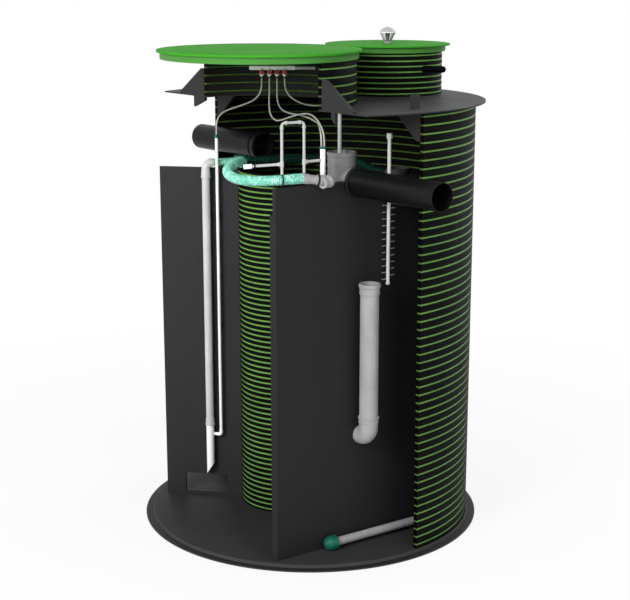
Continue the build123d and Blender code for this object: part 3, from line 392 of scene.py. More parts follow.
def corrugated(length, pitch, wave):
    # stations of a ribbed hose: wave is (share of one rib, radius)
    count = int(length / pitch)
    stations = [((k + share) * length / count, radius) for k in range(count) for share, radius in wave]
    return stations + [(length, wave[0][1])]


beadSlope = 0.003


def beads(length, radius, marks):
    # stations of a plain pipe with raised collars: marks are (from, to, extra radius)
    out = [(0.0, radius)]
    for low, high, extra in marks:
        soft = min(beadSlope, (high - low) / 3)
        out += [(low, radius), (low + soft, radius + extra), (high - soft, radius + extra), (high, radius)]
    return out + [(length, radius)]


# the camera stands where the photograph was taken from
camera = {"place": (0.135, -8.544, 3.406), "pitchDown": 13.442, "yaw": 0.709, "lens": 80.06, "sensor": 36,
          "farClip": 60}
eye = linked("camera", bpy.data.cameras.new("camera"))
eye.location = camera["place"]
eye.rotation_euler = (math.radians(90 - camera["pitchDown"]), 0, math.radians(camera["yaw"]))
eye.data.lens = camera["lens"]
eye.data.sensor_width = camera["sensor"]
eye.data.clip_end = camera["farClip"]
bpy.context.scene.camera = eye

hoses = {
    "mint_hose": {"length": 1.359, "diameter": 0.058, "stiffness": "limp", "kinds": ["mint", "mint"],
                  "slot": "mint_hose", "points": [
        (-0.0334, -0.8394, 2.2563), (-0.0946, -0.8823, 2.2563), (-0.188, -0.908, 2.2543), (-0.288, -0.897, 2.249),
        (-0.377, -0.85, 2.249), (-0.438, -0.771, 2.259), (-0.462, -0.674, 2.274), (-0.45, -0.576, 2.287),
        (-0.424, -0.48, 2.293), (-0.406, -0.382, 2.288), (-0.399, -0.282, 2.273), (-0.403, -0.182, 2.254),
        (-0.414, -0.084, 2.238), (-0.425, 0.0082, 2.2257), (-0.4317, 0.1039, 2.2214)]},
    # the rear stretch is the mint hose in painted shade, with a painted highlight on each rib's crest
    "rear_hose": {"length": 0.958, "diameter": 0.058, "stiffness": "limp", "kinds": ["mintPaintedShade", "mintCrestPaintedHighlight"],
                  "slot": "teal_hose", "points": [
        (-0.3888, 0.1541, 2.2193), (-0.2972, 0.1624, 2.2193), (-0.203, 0.19, 2.219), (-0.11, 0.228, 2.217),
        (-0.022, 0.276, 2.216), (0.068, 0.315, 2.216), (0.164, 0.324, 2.215), (0.256, 0.295, 2.205),
        (0.336, 0.239, 2.183), (0.4087, 0.1816, 2.146), (0.4779, 0.1414, 2.146)]},
}
airHoses = {
    "air_hose_1": {"length": 0.506, "points": [
        (-0.299, 0.134, 2.73), (-0.299, 0.134, 2.684), (-0.309, 0.133, 2.641), (-0.338, 0.13, 2.604),
        (-0.381, 0.122, 2.582), (-0.425, 0.112, 2.567), (-0.467, 0.1, 2.554), (-0.509, 0.085, 2.541),
        (-0.547, 0.067, 2.522), (-0.571, 0.052, 2.486), (-0.5766, 0.0478, 2.4403), (-0.5766, 0.0478, 2.3943)]},
    "air_hose_2": {"length": 1.271, "points": [
        (-0.2522, 0.134, 2.73), (-0.2522, 0.134, 2.654), (-0.256, 0.132, 2.578), (-0.249, 0.118, 2.506),
        (-0.21, 0.068, 2.475), (-0.17, 0.004, 2.49), (-0.14, -0.064, 2.507), (-0.113, -0.133, 2.523),
        (-0.087, -0.204, 2.538), (-0.063, -0.275, 2.551), (-0.041, -0.347, 2.562), (-0.021, -0.419, 2.571),
        (0.000, -0.493, 2.577), (0.019, -0.566, 2.578), (0.039, -0.638, 2.571), (0.06, -0.7, 2.553),
        (0.082, -0.742, 2.512), (0.0903, -0.7584, 2.4693), (0.0903, -0.7584, 2.4233)]},
    "air_hose_3": {"length": 1.159, "points": [
        (-0.2054, 0.134, 2.73), (-0.2054, 0.134, 2.658), (-0.205, 0.126, 2.59), (-0.18, 0.078, 2.546),
        (-0.144, 0.014, 2.535), (-0.114, -0.052, 2.534), (-0.089, -0.119, 2.537), (-0.065, -0.187, 2.54),
        (-0.042, -0.255, 2.542), (-0.019, -0.324, 2.543), (0.002, -0.393, 2.543), (0.02, -0.463, 2.541),
        (0.035, -0.533, 2.54), (0.048, -0.596, 2.54), (0.057, -0.658, 2.539), (0.063, -0.708, 2.527),
        (0.07, -0.745, 2.5), (0.0743, -0.7584, 2.4633), (0.0743, -0.7584, 2.4233)]},
    "air_hose_4": {"length": 0.595, "points": [
        (-0.1586, 0.134, 2.73), (-0.1586, 0.134, 2.671), (-0.13, 0.136, 2.62), (-0.08, 0.14, 2.586),
        (-0.023, 0.146, 2.566), (0.036, 0.152, 2.561), (0.095, 0.158, 2.564), (0.154, 0.165, 2.573),
        (0.212, 0.175, 2.584), (0.271, 0.19, 2.59), (0.33, 0.19, 2.59)]},
}
hoseCurve = {"order": 3, "steps": 12, "round": 5}
thinHose = {"diameter": 0.01, "stiffness": "medium"}


def hoseLine(name, points, thickness=0.0):
    # a smooth NURBS line whose control points are the hose's route
    data = bpy.data.curves.new(name, "CURVE")
    data.dimensions = "3D"
    spline = data.splines.new("NURBS")
    spline.points.add(len(points) - 1)
    for place, point in zip(spline.points, points):
        place.co = (*point, 1)
    spline.order_u = hoseCurve["order"]
    spline.use_endpoint_u = True
    data.resolution_u = hoseCurve["steps"]
    data.bevel_depth = thickness / 2
    data.bevel_resolution = hoseCurve["round"]
    data.use_fill_caps = True
    return linked(name, data)


for name, spec in airHoses.items():
    line = hoseLine(name + "_line", spec["points"], thinHose["diameter"])
    line.data.materials.append(materials["airHose"])
    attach(line, "root")
    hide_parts(name)
    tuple(spec["points"][0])

ribs = {"pitch": 0.0098, "depth": 0.003, "sides": 26, "sharp": 60, "crest": (5, 2),
        "wave": ((0.0, 1.0), (0.22, 0.35), (0.38, 0.0), (0.62, 0.0), (0.78, 0.35))}  # share of a rib, how deep
for name, spec in hoses.items():
    guide = hoseLine(name + "_guide", spec["points"])
    flat = bpy.data.meshes.new_from_object(guide)
    path = [v.co.copy() for v in flat.vertices]
    bpy.data.objects.remove(guide)
    bpy.data.meshes.remove(flat)
    track = Track(path)
    wave = [(share, spec["diameter"] / 2 - deep * ribs["depth"]) for share, deep in ribs["wave"]]
    work = bmesh.new()
    pipe(work, track, corrugated(track.length, ribs["pitch"], wave), sides=ribs["sides"], crest=ribs["crest"])
    tube = piece(name + "_tube", work, spec["kinds"], [name], spec["slot"], ribs["sharp"])
    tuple(spec["points"][0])
print("hoses made")

largeShaftAxis = (-0.29, -0.286)
smallShaftAxis = (0.481, 0.427)
shaftTop = 2.919
walls = {
    "tankShell": {"nodes": ["shell_front_right", "shell_right", "shell_rear"], "centre": (0, 0), "radius": 1.0,
                  "wall": 0.03, "bottom": 0.025, "top": 2.614, "bands": 53, "seam": 0.0095, "dip": 0.0026,
                  "start": -50.0, "sweep": 180.0, "steps": 72, "inside": "band"},
    "columnWall": {"nodes": ["inner_column"], "centre": (-0.133, 0.1), "radius": 0.316, "wall": 0.02,
                   "bottom": 0.025, "top": 2.184, "bands": 65, "seam": 0.0098, "dip": 0.002,
                   "start": 0.0, "sweep": 360.0, "steps": 72, "inside": "band"},
    # the large shaft's inside takes a lighter copy of the band plastic, painted light
    "largeShaftWall": {"nodes": ["large_shaft"], "centre": largeShaftAxis, "radius": 0.568, "wall": 0.03,
                       "bottom": 2.622, "top": shaftTop, "bands": 6, "seam": 0.0085, "dip": 0.0026,
                       "start": -50.0, "sweep": 180.0, "steps": 72, "inside": "bandInsidePaintedLight"},
    "smallShaftWall": {"nodes": ["small_shaft"], "centre": smallShaftAxis, "radius": 0.345, "wall": 0.02,
                       "bottom": 2.622, "top": shaftTop, "bands": 9, "seam": 0.0086, "dip": 0.002,
                       "start": 0.0, "sweep": 360.0, "steps": 96, "inside": "band"},
}
seamShoulder = 0.0025  # height over which a band dips to its seam
wallSharp = 25
wallTolerance = {"cut": 0.004, "seam": 0.0008, "inside": 0.002}
for name, spec in walls.items():
    pitch = (spec["top"] - spec["bottom"]) / spec["bands"]
    half = spec["seam"] / 2
    levels = [(spec["bottom"], 0.0)]
    for k in range(spec["bands"]):
        seamZ = spec["bottom"] + (k + 0.5) * pitch
        levels += [(seamZ - half - seamShoulder, 0.0), (seamZ - half, spec["dip"]), (seamZ + half, spec["dip"]),
                   (seamZ + half + seamShoulder, 0.0)]
    levels.append((spec["top"], 0.0))
    outside = spec["radius"]
    inside = outside - spec["wall"]
    between = (outside + inside) / 2
    centre = Vector((*spec["centre"], 0))
    ray = facing(spec["start"])
    work = bmesh.new()
    outer = [work.verts.new(centre + ray * (outside - dip) + up * z) for z, dip in levels]
    inner = [work.verts.new(centre + ray * (inside + dip) + up * z) for z, dip in levels]
    whole = spec["sweep"] == 360.0
    if whole:
        chain(work, outer + inner[::-1], True)
    else:
        bmesh.ops.bridge_loops(work, edges=chain(work, outer) + chain(work, inner))
    bmesh.ops.spin(work, geom=list(work.verts) + list(work.edges) + list(work.faces), cent=centre, axis=(0, 0, 1),
                   angle=math.radians(spec["sweep"]), steps=spec["steps"], use_merge=whole)
    for face in work.faces:
        middle = face.calc_center_median()
        offset = ((middle.z - spec["bottom"]) / pitch - 0.5) % 1.0
        away = math.hypot(middle.x - centre.x, middle.y - centre.y)
        cutFace = abs(away - between) < wallTolerance["cut"]
        if min(offset, 1.0 - offset) * pitch < half + wallTolerance["seam"]:
            # seams on the inner and cut faces take the darker seam green, painted shade
            face.material_index = 2 if cutFace or away < between - wallTolerance["inside"] else 1
        elif cutFace:
            face.material_index = 3
        elif away < between:
            # inner faces take the wall's inside finish; on the large shaft that is painted light
            face.material_index = 4
    piece(name, work, ["band", "seam", "seamInsidePaintedShade", "cutBlack", spec["inside"]], spec["nodes"], "black_plastic",
          wallSharp)
print("wound walls made")


cornerReach = 0.45


def softProfile(points, size, steps=3):
    # round every corner of a closed (radius, height) outline, at most this share of its edges
    out = []
    for k, point in enumerate(points):
        here = Vector(point)
        before = Vector(points[k - 1])
        after = Vector(points[(k + 1) % len(points)])
        reach = min(size, (here - before).length * cornerReach, (after - here).length * cornerReach)
        a = here + (before - here).normalized() * reach
        b = here + (after - here).normalized() * reach
        for share in spaced(0, 1, steps):
            out.append(tuple(a.lerp(here, share).lerp(here.lerp(b, share), share)))
    return out


core = 0.0005  # radius of the pinhole at the middle of turned plates
hair = 0.001  # margin when faces are told apart
lids = {
    "largeLid": {"node": "large_lid", "centre": largeShaftAxis, "skirt": 0.58, "skirtWall": 0.01, "drop": 0.039,
                 "flange": 0.6, "thick": 0.014},
    "smallLid": {"node": "small_lid", "centre": smallShaftAxis, "skirt": 0.365, "skirtWall": 0.018, "drop": 0.035,
                 "flange": 0.393, "thick": 0.01},
}
lidFinish = {"round": 0.004, "steps": 128}
for name, spec in lids.items():
    low = shaftTop - spec["drop"]
    high = shaftTop + spec["thick"]
    inside = spec["skirt"] - spec["skirtWall"]
    outline = [(core, high), (spec["flange"], high), (spec["flange"], shaftTop), (spec["skirt"], shaftTop),
               (spec["skirt"], low), (inside, low), (inside, shaftTop), (core, shaftTop)]
    work = bmesh.new()
    turned(work, softProfile(outline, lidFinish["round"]), spec["centre"], lidFinish["steps"])
    for face in work.faces:
        # the skirt and underside take the darker lid green, painted shade
        face.material_index = 1 if face.calc_center_median().z < shaftTop - hair else 0
    piece(name, work, ["lid", "lidSkirtPaintedShade"], [spec["node"]], "green_plastic")

base = {"flange": 1.058, "flangeTop": 0.007, "floor": 1.01, "floorTop": 0.025, "round": 0.003, "steps": 160,
        "stepIn": 0.0035}
outline = [(core, base["floorTop"]), (base["floor"], base["floorTop"]), (base["floor"], base["flangeTop"]),
           (base["flange"], base["flangeTop"]), (base["flange"], 0.0), (core, 0.0)]
work = bmesh.new()
turned(work, softProfile(outline, base["round"]), (0, 0), base["steps"])
for face in work.faces:
    middle = face.calc_center_median()
    away = math.hypot(middle.x, middle.y)
    if away > base["floor"] - base["stepIn"]:  # the step up to the floor is pale, a painted highlight, and the flange dark, painted shade
        face.material_index = 1 if middle.z > base["flangeTop"] and away < base["floor"] + hair else 2
    # painted highlight along the flange's rounded outer edge
    if away > base["flange"] - base["round"] and middle.z > hair:
        face.material_index = 1
piece("baseFloor", work, ["base", "step", "sheetPaintedShade"], ["base_plate"], "dark_plastic")

vent = {"bottom": 2.929, "neck": 0.023, "neckTaper": 0.004, "neckTop": 2.944, "core": (0.01, 0.018),
        "basketTop": 2.993, "rim": (0.044, 0.054), "rimTop": 2.999, "cap": (0.046, 0.05, 0.034), "capFoot": 0.002,
        "capRise": 0.019, "tip": 3.031, "ribs": 20, "rib": 0.0019, "ribFoot": 0.021, "ribHead": 0.048,
        "ribDrop": 0.006, "ribSides": 8, "facets": 12, "sharp": 12,
        "rounds": (0.002, 0.001, 0.0015), "steps": (40, 24, 48)}
centre = Vector((*smallShaftAxis, 0))
neckTop, basketTop, rimTop = vent["neckTop"], vent["basketTop"], vent["rimTop"]
work = bmesh.new()
low, high = vent["rim"]
outlines = (
    [(core, vent["bottom"]), (vent["neck"], vent["bottom"]), (vent["neck"] - vent["neckTaper"], neckTop),
     (core, neckTop)],
    [(core, neckTop), (vent["core"][0], neckTop), (vent["core"][1], basketTop), (core, basketTop)],
    [(low, basketTop), (high, basketTop), (high, rimTop), (low, rimTop)],
)
for outline, size, steps in zip(outlines, vent["rounds"], vent["steps"]):
    turned(work, softProfile(outline, size), smallShaftAxis, steps)
for k in range(vent["ribs"]):
    out = facing(360 * k / vent["ribs"])
    foot = centre + out * vent["ribFoot"] + up * (neckTop - vent["ribDrop"])
    head = centre + out * vent["ribHead"] + up * (basketTop + vent["capFoot"])
    pipe(work, Track([foot, head]), [(0.0, vent["rib"]), ((head - foot).length, vent["rib"])],
         sides=vent["ribSides"])
foot, rim, shoulder = vent["cap"]
turned(work, [(core, basketTop + vent["capFoot"]), (foot, basketTop + vent["capFoot"]), (rim, rimTop),
              (shoulder, rimTop + vent["capRise"]), (core, vent["tip"])], smallShaftAxis, vent["facets"])
for face in work.faces:
    middle = face.calc_center_median()
    away = math.hypot(middle.x - centre.x, middle.y - centre.y)
    if middle.z < basketTop - hair:
        face.material_index = 2 if away < vent["core"][1] + hair / 2 and middle.z > neckTop else 1
    elif middle.z > rimTop - hair:
        face.material_index = 3
piece("ventCap", work, ["white", "grey", "rubber", "midGrey"], ["vent_cap"], "white_plastic", vent["sharp"])
print("lids, base and vent made")


class Upright:
    # a vertical plane: where it starts on the floor, and its ways along and out in degrees
    def __init__(self, foot, along, out):
        self.foot = Vector((*foot, 0))
        self.along = facing(along)
        self.out = facing(out)

    def at(self, along, out, z):
        return self.foot + self.along * along + self.out * out + up * z


section = Upright((0, 0), -50, 40)
frontPanel = Upright((-0.171, -0.951), 35, -55)
leftPanel = Upright((-0.943, 0.145), -8.8, -98.8)

inlet = {"from": -1.041, "to": -0.366, "aside": -0.0803, "z": 2.303, "radius": 0.08, "bore": 0.076, "sides": 64,
         "beads": ((0.068, 0.05, 0.008), (0.04, 0.001, 0.0089))}  # back from the end, and how far proud
start = section.at(inlet["from"], inlet["aside"], inlet["z"])
end = section.at(inlet["to"], inlet["aside"], inlet["z"])
length = (end - start).length
marks = [(length - low, length - high, proud) for low, high, proud in inlet["beads"]]
pipePiece("inletPipe", Track([start, end]), beads(length, inlet["radius"], marks), ["black"], ["inlet_pipe"],
          "black_pipe", inlet["bore"], inlet["sides"])

outlet = {"from": 0.65, "to": 1.359, "aside": -0.2, "z": 2.205, "radius": 0.08, "bore": 0.076, "sides": 64}
start = section.at(outlet["from"], outlet["aside"], outlet["z"])
end = section.at(outlet["to"], outlet["aside"], outlet["z"])
pipePiece("outletPipe", Track([start, end]), beads((end - start).length, outlet["radius"], []), ["black"],
          ["outlet_pipe"], "black_pipe", outlet["bore"], outlet["sides"])

ring = {"from": 0.656, "width": 0.02, "bore": 0.0802,
        "profile": [(0.0, 0.084), (0.004, 0.0885), (0.016, 0.0885), (0.02, 0.084)]}
start = section.at(ring["from"], outlet["aside"], outlet["z"])
pipePiece("outletRing", straight(start, section.along, ring["width"]), ring["profile"], ["rubber"],
          ["outlet_seal"], "black_rubber", ring["bore"], outlet["sides"])

# outlet tee: open body with a beaded socket on top and the branch that the outlet pipe leaves by
tee = {"t": 0.531, "low": 2.045, "high": 2.368, "bore": 0.076, "foot": [(0.0, 0.079), (0.002, 0.08)],
       "socket": [(0.082, 0.08), (0.08, 0.0832), (0.072, 0.0832), (0.07, 0.0815), (0.026, 0.0815),
                  (0.023, 0.0843), (0.002, 0.0844), (0.0, 0.083)],
       "branch": 0.0785, "branchFrom": 0.571, "branchTo": 0.655, "bead": (0.03, 0.022, 0.002)}
start = section.at(tee["t"], outlet["aside"], tee["low"])
rise = tee["high"] - tee["low"]
work = bmesh.new()
pipe(work, straight(start, up, rise), tee["foot"] + fromEnd(rise, tee["socket"]), tee["bore"], outlet["sides"])
start = section.at(tee["branchFrom"], outlet["aside"], outlet["z"])
run = tee["branchTo"] - tee["branchFrom"]
low, high, proud = tee["bead"]
pipe(work, straight(start, section.along, run), beads(run, tee["branch"], [(run - low, run - high, proud)]),
     sides=outlet["sides"])
# the tee takes the darker grey copy, painted shade
piece("outletTee", work, ["teeGreyPaintedShade"], ["outlet_tee"], "grey_plastic")

# transfer pipe: socket with a bead, long pipe, collar and elbow back through the partition
transfer = {"along": 0.585, "out": 0.078, "top": 1.625, "low": 0.694, "bend": 0.068, "behind": 0.045,
            "bore": 0.0518, "sides": 56, "plain": (0.055, 0.08, 0.067, 6), "elbow": (0.0562, 0.022, 0.0, 30),
            "start": [(0.0, 0.06), (0.003, 0.0638), (0.019, 0.0642), (0.024, 0.0592), (0.052, 0.0588),
                      (0.054, 0.0606), (0.06, 0.0606), (0.062, 0.0574), (0.07, 0.0556), (0.075, 0.0552)],
            "collar": [(0.064, 0.056), (0.061, 0.0626), (0.053, 0.063), (0.05, 0.058), (0.036, 0.0578),
                       (0.034, 0.0596), (0.028, 0.0596), (0.026, 0.0566)],
            "end": []}
track, run = bentTrack(frontPanel.at(transfer["along"], transfer["out"], transfer["top"]),
                       frontPanel.at(transfer["along"], transfer["out"], transfer["low"]),
                       frontPanel.at(transfer["along"], -transfer["behind"], transfer["low"]), transfer["bend"])
pipePiece("transferPipe", track, elbowStations(transfer, run, track.length), ["grey"], ["transfer_pipe"],
          "grey_plastic", transfer["bore"], transfer["sides"])

# airlift: long pipe with sockets and an elbow toward the coupling
couplingPoint = Vector((-0.4349, 0.15, 2.2193))
airlift = {"along": 0.305, "out": 0.04, "low": 0.52, "high": 2.2193, "bend": 0.038, "reach": 0.047,
           "bore": 0.022, "sides": 40, "plain": (0.025, 0.055, 0.062, 5), "elbow": (0.0258, 0.004, 0.006, 18),
           "start": [(0.0, 0.0278), (0.001, 0.03), (0.018, 0.03), (0.02, 0.0276), (0.044, 0.0275),
                     (0.047, 0.0252)],
           "collar": [(0.055, 0.0252), (0.054, 0.0302), (0.042, 0.0302), (0.039, 0.028), (0.014, 0.0278),
                      (0.008, 0.0262)],
           "end": [(0.0, 0.0248)]}
foot = leftPanel.at(airlift["along"], airlift["out"], airlift["low"])
corner = leftPanel.at(airlift["along"], airlift["out"], airlift["high"])
toward = (couplingPoint - corner).normalized()
tip = corner + toward * airlift["reach"]
track, run = bentTrack(foot, corner, tip, airlift["bend"])
pipePiece("airliftPipe", track, elbowStations(airlift, run, track.length), ["paleGrey"], ["airlift_pipe"],
          "grey_plastic", airlift["bore"], airlift["sides"])

# short hose from that elbow to the coupling
shortHose = {"into": 0.006, "before": 0.03, "wave": ((0.0, 0.0195), (0.3, 0.022), (0.7, 0.022))}
start = tip - toward * shortHose["into"]
end = couplingPoint - toward * shortHose["before"]
stations = corrugated((end - start).length, ribs["pitch"], shortHose["wave"])
pipePiece("airliftHose", Track([start, end]), stations, ["mint"], ["airlift_hose"], "mint_hose",
          sides=ribs["sides"], sharp=ribs["sharp"])

# thin air pipe beside the airlift
thinPipe = {"along": 0.377, "out": 0.04, "high": 2.374, "low": 0.461, "to": 0.3303, "bend": 0.0105,
            "bendSteps": 6, "bore": 0.0075, "sides": 24, "plain": (0.0095, 0.01, 0.03, 12),
            "elbow": (0.0112, 0.01, 0.022, 10), "start": [(0.0, 0.0092), (0.001, 0.0095)],
            "collar": [(0.024, 0.0097), (0.022, 0.0112)],
            "end": [(0.021, 0.0112), (0.0195, 0.0098), (0.0, 0.0098)]}
track, run = bentTrack(leftPanel.at(thinPipe["along"], thinPipe["out"], thinPipe["high"]),
                       leftPanel.at(thinPipe["along"], thinPipe["out"], thinPipe["low"]),
                       leftPanel.at(thinPipe["to"], thinPipe["out"], thinPipe["low"]), thinPipe["bend"],
                       thinPipe["bendSteps"])
pipePiece("airPipe", track, elbowStations(thinPipe, run, track.length), ["white"], ["air_pipe"], "white_plastic",
          thinPipe["bore"], thinPipe["sides"])

# brush: a rod with a cap and two rows of fine needles
brush = {"along": 0.75, "out": 0.032, "bottom": 1.589, "length": 0.885, "pegTop": 2.06, "pitch": 0.0396,
         "count": 12, "foot": [(0.0, 0.0085), (0.003, 0.0125), (0.014, 0.013), (0.02, 0.0108), (0.03, 0.0105)],
         "head": [(0.033, 0.0105), (0.031, 0.0165), (0.003, 0.0168), (0.0, 0.015)], "sides": 28,
         "needle": 0.045, "thick": 0.0016, "thin": 0.0007, "fanUp": 0.0022, "fanOut": 0.003, "needleSides": 6}
start = frontPanel.at(brush["along"], brush["out"], brush["bottom"])
work = bmesh.new()
pipe(work, straight(start, up, brush["length"]), brush["foot"] + fromEnd(brush["length"], brush["head"]),
     sides=brush["sides"])
needles = [(-1, k) for k in range(brush["count"])] + [(1, k + 0.5) for k in range(brush["count"] - 1)]
for sideways, place in needles:
    root = frontPanel.at(brush["along"], brush["out"], brush["pegTop"] - place * brush["pitch"])
    for fan in (-1, 0, 1):
        end = frontPanel.at(brush["along"] + sideways * brush["needle"], brush["out"] + fan * brush["fanOut"],
                            root.z + fan * brush["fanUp"])
        pipe(work, Track([root, end]), [(0.0, brush["thick"]), ((end - root).length, brush["thin"])],
             sides=brush["needleSides"], index=1)
piece("brushRod", work, ["paleGrey", "midGrey"], ["brush_rod"], "white_plastic")
print("pipes made")

valves = {"x": -0.299, "pitch": 0.0468, "count": 4, "y": 0.134, "top": 2.7812, "height": 0.0389, "sides": 28,
          "body": [(0.0, 0.008), (0.002, 0.0095), (0.009, 0.011), (0.014, 0.013), (0.034, 0.0136),
                   (0.037, 0.0115), (0.0389, 0.011)],
          "knobFront": 0.013, "knobDown": 0.012, "knobDepth": 0.012, "knobSides": 36,
          "knob": [(0.0, 0.006), (0.002, 0.006), (0.003, 0.0134), (0.0045, 0.0142), (0.0095, 0.0142),
                   (0.011, 0.012), (0.0112, 0.008), (0.0114, 0.007), (0.012, 0.0045)]}
bodies = bmesh.new()
knobs = bmesh.new()
for k in range(valves["count"]):
    top = Vector((valves["x"] + k * valves["pitch"], valves["y"], valves["top"]))
    pipe(bodies, Track([top - up * valves["height"], top]), valves["body"], sides=valves["sides"])
    start = top - Vector((0, valves["knobFront"], valves["knobDown"]))
    pipe(knobs, Track([start, start - Vector((0, valves["knobDepth"], 0))]), valves["knob"],
         sides=valves["knobSides"])
piece("valveBodies", bodies, ["white"], ["valve_bodies"], "white_plastic")
piece("valveKnobs", knobs, ["red"], ["valve_knobs"], "red_plastic")

# manifold: a white block, then a thinner supply pipe with a collar that runs on to the shaft's wall
manifold = {"left": -0.375, "blockEnd": -0.096, "y": 0.134, "z": 2.794, "size": 0.0244, "bevel": 0.003,
            "bevelSegments": 3, "bevelProfile": 0.6, "lap": 0.004, "supply": 0.0104,
            "collar": (0.004, 0.018, 0.0017), "sides": 28, "seat": 0.0125, "gap": 0.0003}
wallInside = walls["largeShaftWall"]["radius"] - walls["largeShaftWall"]["wall"]
aside = manifold["y"] + manifold["seat"] - largeShaftAxis[1]
wallX = largeShaftAxis[0] + math.sqrt(wallInside ** 2 - aside ** 2) - manifold["gap"]
work = bmesh.new()
middle = ((manifold["left"] + manifold["blockEnd"]) / 2, manifold["y"], manifold["z"])
size = (manifold["blockEnd"] - manifold["left"], manifold["size"], manifold["size"], 1)
bmesh.ops.create_cube(work, size=1.0, matrix=Matrix.Translation(middle) @ Matrix.Diagonal(size))
bmesh.ops.bevel(work, geom=list(work.edges), offset=manifold["bevel"], segments=manifold["bevelSegments"],
                affect="EDGES", profile=manifold["bevelProfile"], material=-1)
start = Vector((manifold["blockEnd"] - manifold["lap"], manifold["y"], manifold["z"]))
end = Vector((wallX, manifold["y"], manifold["z"]))
pipe(work, Track([start, end]), beads((end - start).length, manifold["supply"], [manifold["collar"]]),
     sides=manifold["sides"], index=1)
piece("manifoldBar", work, ["white", "paleGrey"], ["manifold_bar"], "grey_plastic")

# small pipe frame: rounded corners, elbows and tees as sleeves, a link to the riser and a capped branch
pipeFrame = {"pipe": 0.008, "bore": 0.0064, "sleeve": 0.0108, "round": 0.02, "top": 2.568, "linkZ": 2.348,
             "branchZ": 2.343, "left": (-0.1413, -0.8951, 2.2866), "right": (-0.0209, -0.8311, 2.2856),
             "sides": 28, "steps": 10, "fillSteps": (12, 4), "elbowSleeve": (0.001, 0.014), "teeSleeve": 0.017,
             "endSleeve": (0.004, 0.026), "edge": 0.001, "tail": 0.0006, "branch": 0.165,
             "way": (-1, 0, -0.07), "ringAt": 0.149}
riser = {"x": 0.0823, "y": -0.7584, "low": 2.262, "length": 0.149, "bore": 0.0125, "clear": 0.0163,
         "sides": 32, "profile": [(0.0, 0.0142), (0.001, 0.0148), (0.147, 0.0148), (0.149, 0.0142)]}
leftFoot = Vector(pipeFrame["left"])
rightFoot = Vector(pipeFrame["right"])
leftTop = Vector((leftFoot.x, leftFoot.y, pipeFrame["top"]))
rightTop = Vector((rightFoot.x, rightFoot.y, pipeFrame["top"]))
arcLeft = bend(leftFoot, leftTop, rightTop, pipeFrame["round"], pipeFrame["steps"])
arcRight = bend(leftTop, rightTop, rightFoot, pipeFrame["round"], pipeFrame["steps"])
track = Track([leftFoot] + arcLeft + arcRight + [rightFoot])
thin, wide, edge = pipeFrame["pipe"], pipeFrame["sleeve"], pipeFrame["edge"]
arcLength = math.pi / 2 * pipeFrame["round"]
leftTee = pipeFrame["branchZ"] - leftFoot.z
rightTee = track.length - (pipeFrame["linkZ"] - rightFoot.z)
marks = [(leftTee - pipeFrame["teeSleeve"], leftTee + pipeFrame["teeSleeve"])]
near, far = pipeFrame["elbowSleeve"]
firstArc = (arcLeft[0] - leftFoot).length
secondArc = firstArc + arcLength + (arcRight[0] - arcLeft[-1]).length
for arc in (firstArc, secondArc):
    marks += [(arc - far, arc - near), (arc + arcLength + near, arc + arcLength + far)]
marks.append((rightTee - pipeFrame["teeSleeve"], rightTee + pipeFrame["teeSleeve"]))
fill, lastFill = pipeFrame["fillSteps"]
stations = [(0.0, thin)]
for low, high in marks:
    stations += [(d, thin) for d in spaced(stations[-1][0] + 2 * edge, low - edge, fill)]
    stations += [(low, wide - edge), (low + edge, wide), (high - edge, wide), (high, wide - edge),
                 (high + pipeFrame["tail"], thin)]
stations += [(d, thin) for d in spaced(stations[-1][0] + 2 * edge, track.length, lastFill)]
work = bmesh.new()
pipe(work, track, stations, pipeFrame["bore"], pipeFrame["sides"])
start = Vector((rightFoot.x, rightFoot.y, pipeFrame["linkZ"]))
end = Vector((riser["x"], riser["y"], pipeFrame["linkZ"]))
sleeve = (*pipeFrame["endSleeve"], wide - thin)
pipe(work, Track([start, end]), beads((end - start).length - riser["clear"], thin, [sleeve]),
     sides=pipeFrame["sides"])
branchStart = Vector((leftFoot.x, leftFoot.y, pipeFrame["branchZ"]))
branchWay = Vector(pipeFrame["way"]).normalized()
pipe(work, straight(branchStart, branchWay, pipeFrame["branch"]), beads(pipeFrame["branch"], thin, [sleeve]),
     sides=pipeFrame["sides"])
piece("pipeFrame", work, ["midGrey"], ["pipe_frame"], "white_plastic")
print("valves, manifold and pipe frame made")

# overflow elbow: tilted spigot for the hose, ball body in front of the panel and a mouth that faces the front
elbow = {"start": (0.177, -0.0125, 2.2563), "ball": (0.326, 0.033, 2.234), "radius": 0.0365, "sides": 44,
         "ballSides": (48, 28), "ringBack": 0.064, "spigot": [(0.0, 0.0282), (0.002, 0.029)],
         "socket": [(0.118, 0.029), (0.112, 0.0262), (0.072, 0.0258), (0.068, 0.03), (0.05, 0.0312),
                    (0.04, 0.031), (0.02, 0.03)],
         "way": (-0.64, -0.76, -0.1), "mouthFrom": 0.02, "mouthTo": 0.055, "mouthBore": 0.017,
         "mouth": [(0.0, 0.03), (0.009, 0.03), (0.011, 0.0325), (0.033, 0.032), (0.035, 0.03)]}
start = frontPanel.at(*elbow["start"])
ball = frontPanel.at(*elbow["ball"])
spigotWay = (ball - start).normalized()
work = bmesh.new()
pipe(work, Track([start, ball]), elbow["spigot"] + fromEnd((ball - start).length, elbow["socket"]),
     sides=elbow["sides"])
bmesh.ops.create_uvsphere(work, u_segments=elbow["ballSides"][0], v_segments=elbow["ballSides"][1],
                          radius=elbow["radius"], matrix=Matrix.Translation(ball))
mouthWay = Vector(elbow["way"]).normalized()
pipe(work, Track([ball + mouthWay * elbow["mouthFrom"], ball + mouthWay * elbow["mouthTo"]]), elbow["mouth"],
     elbow["mouthBore"], elbow["sides"])
piece("overflowElbow", work, ["grey"], ["overflow_elbow"], "grey_plastic")

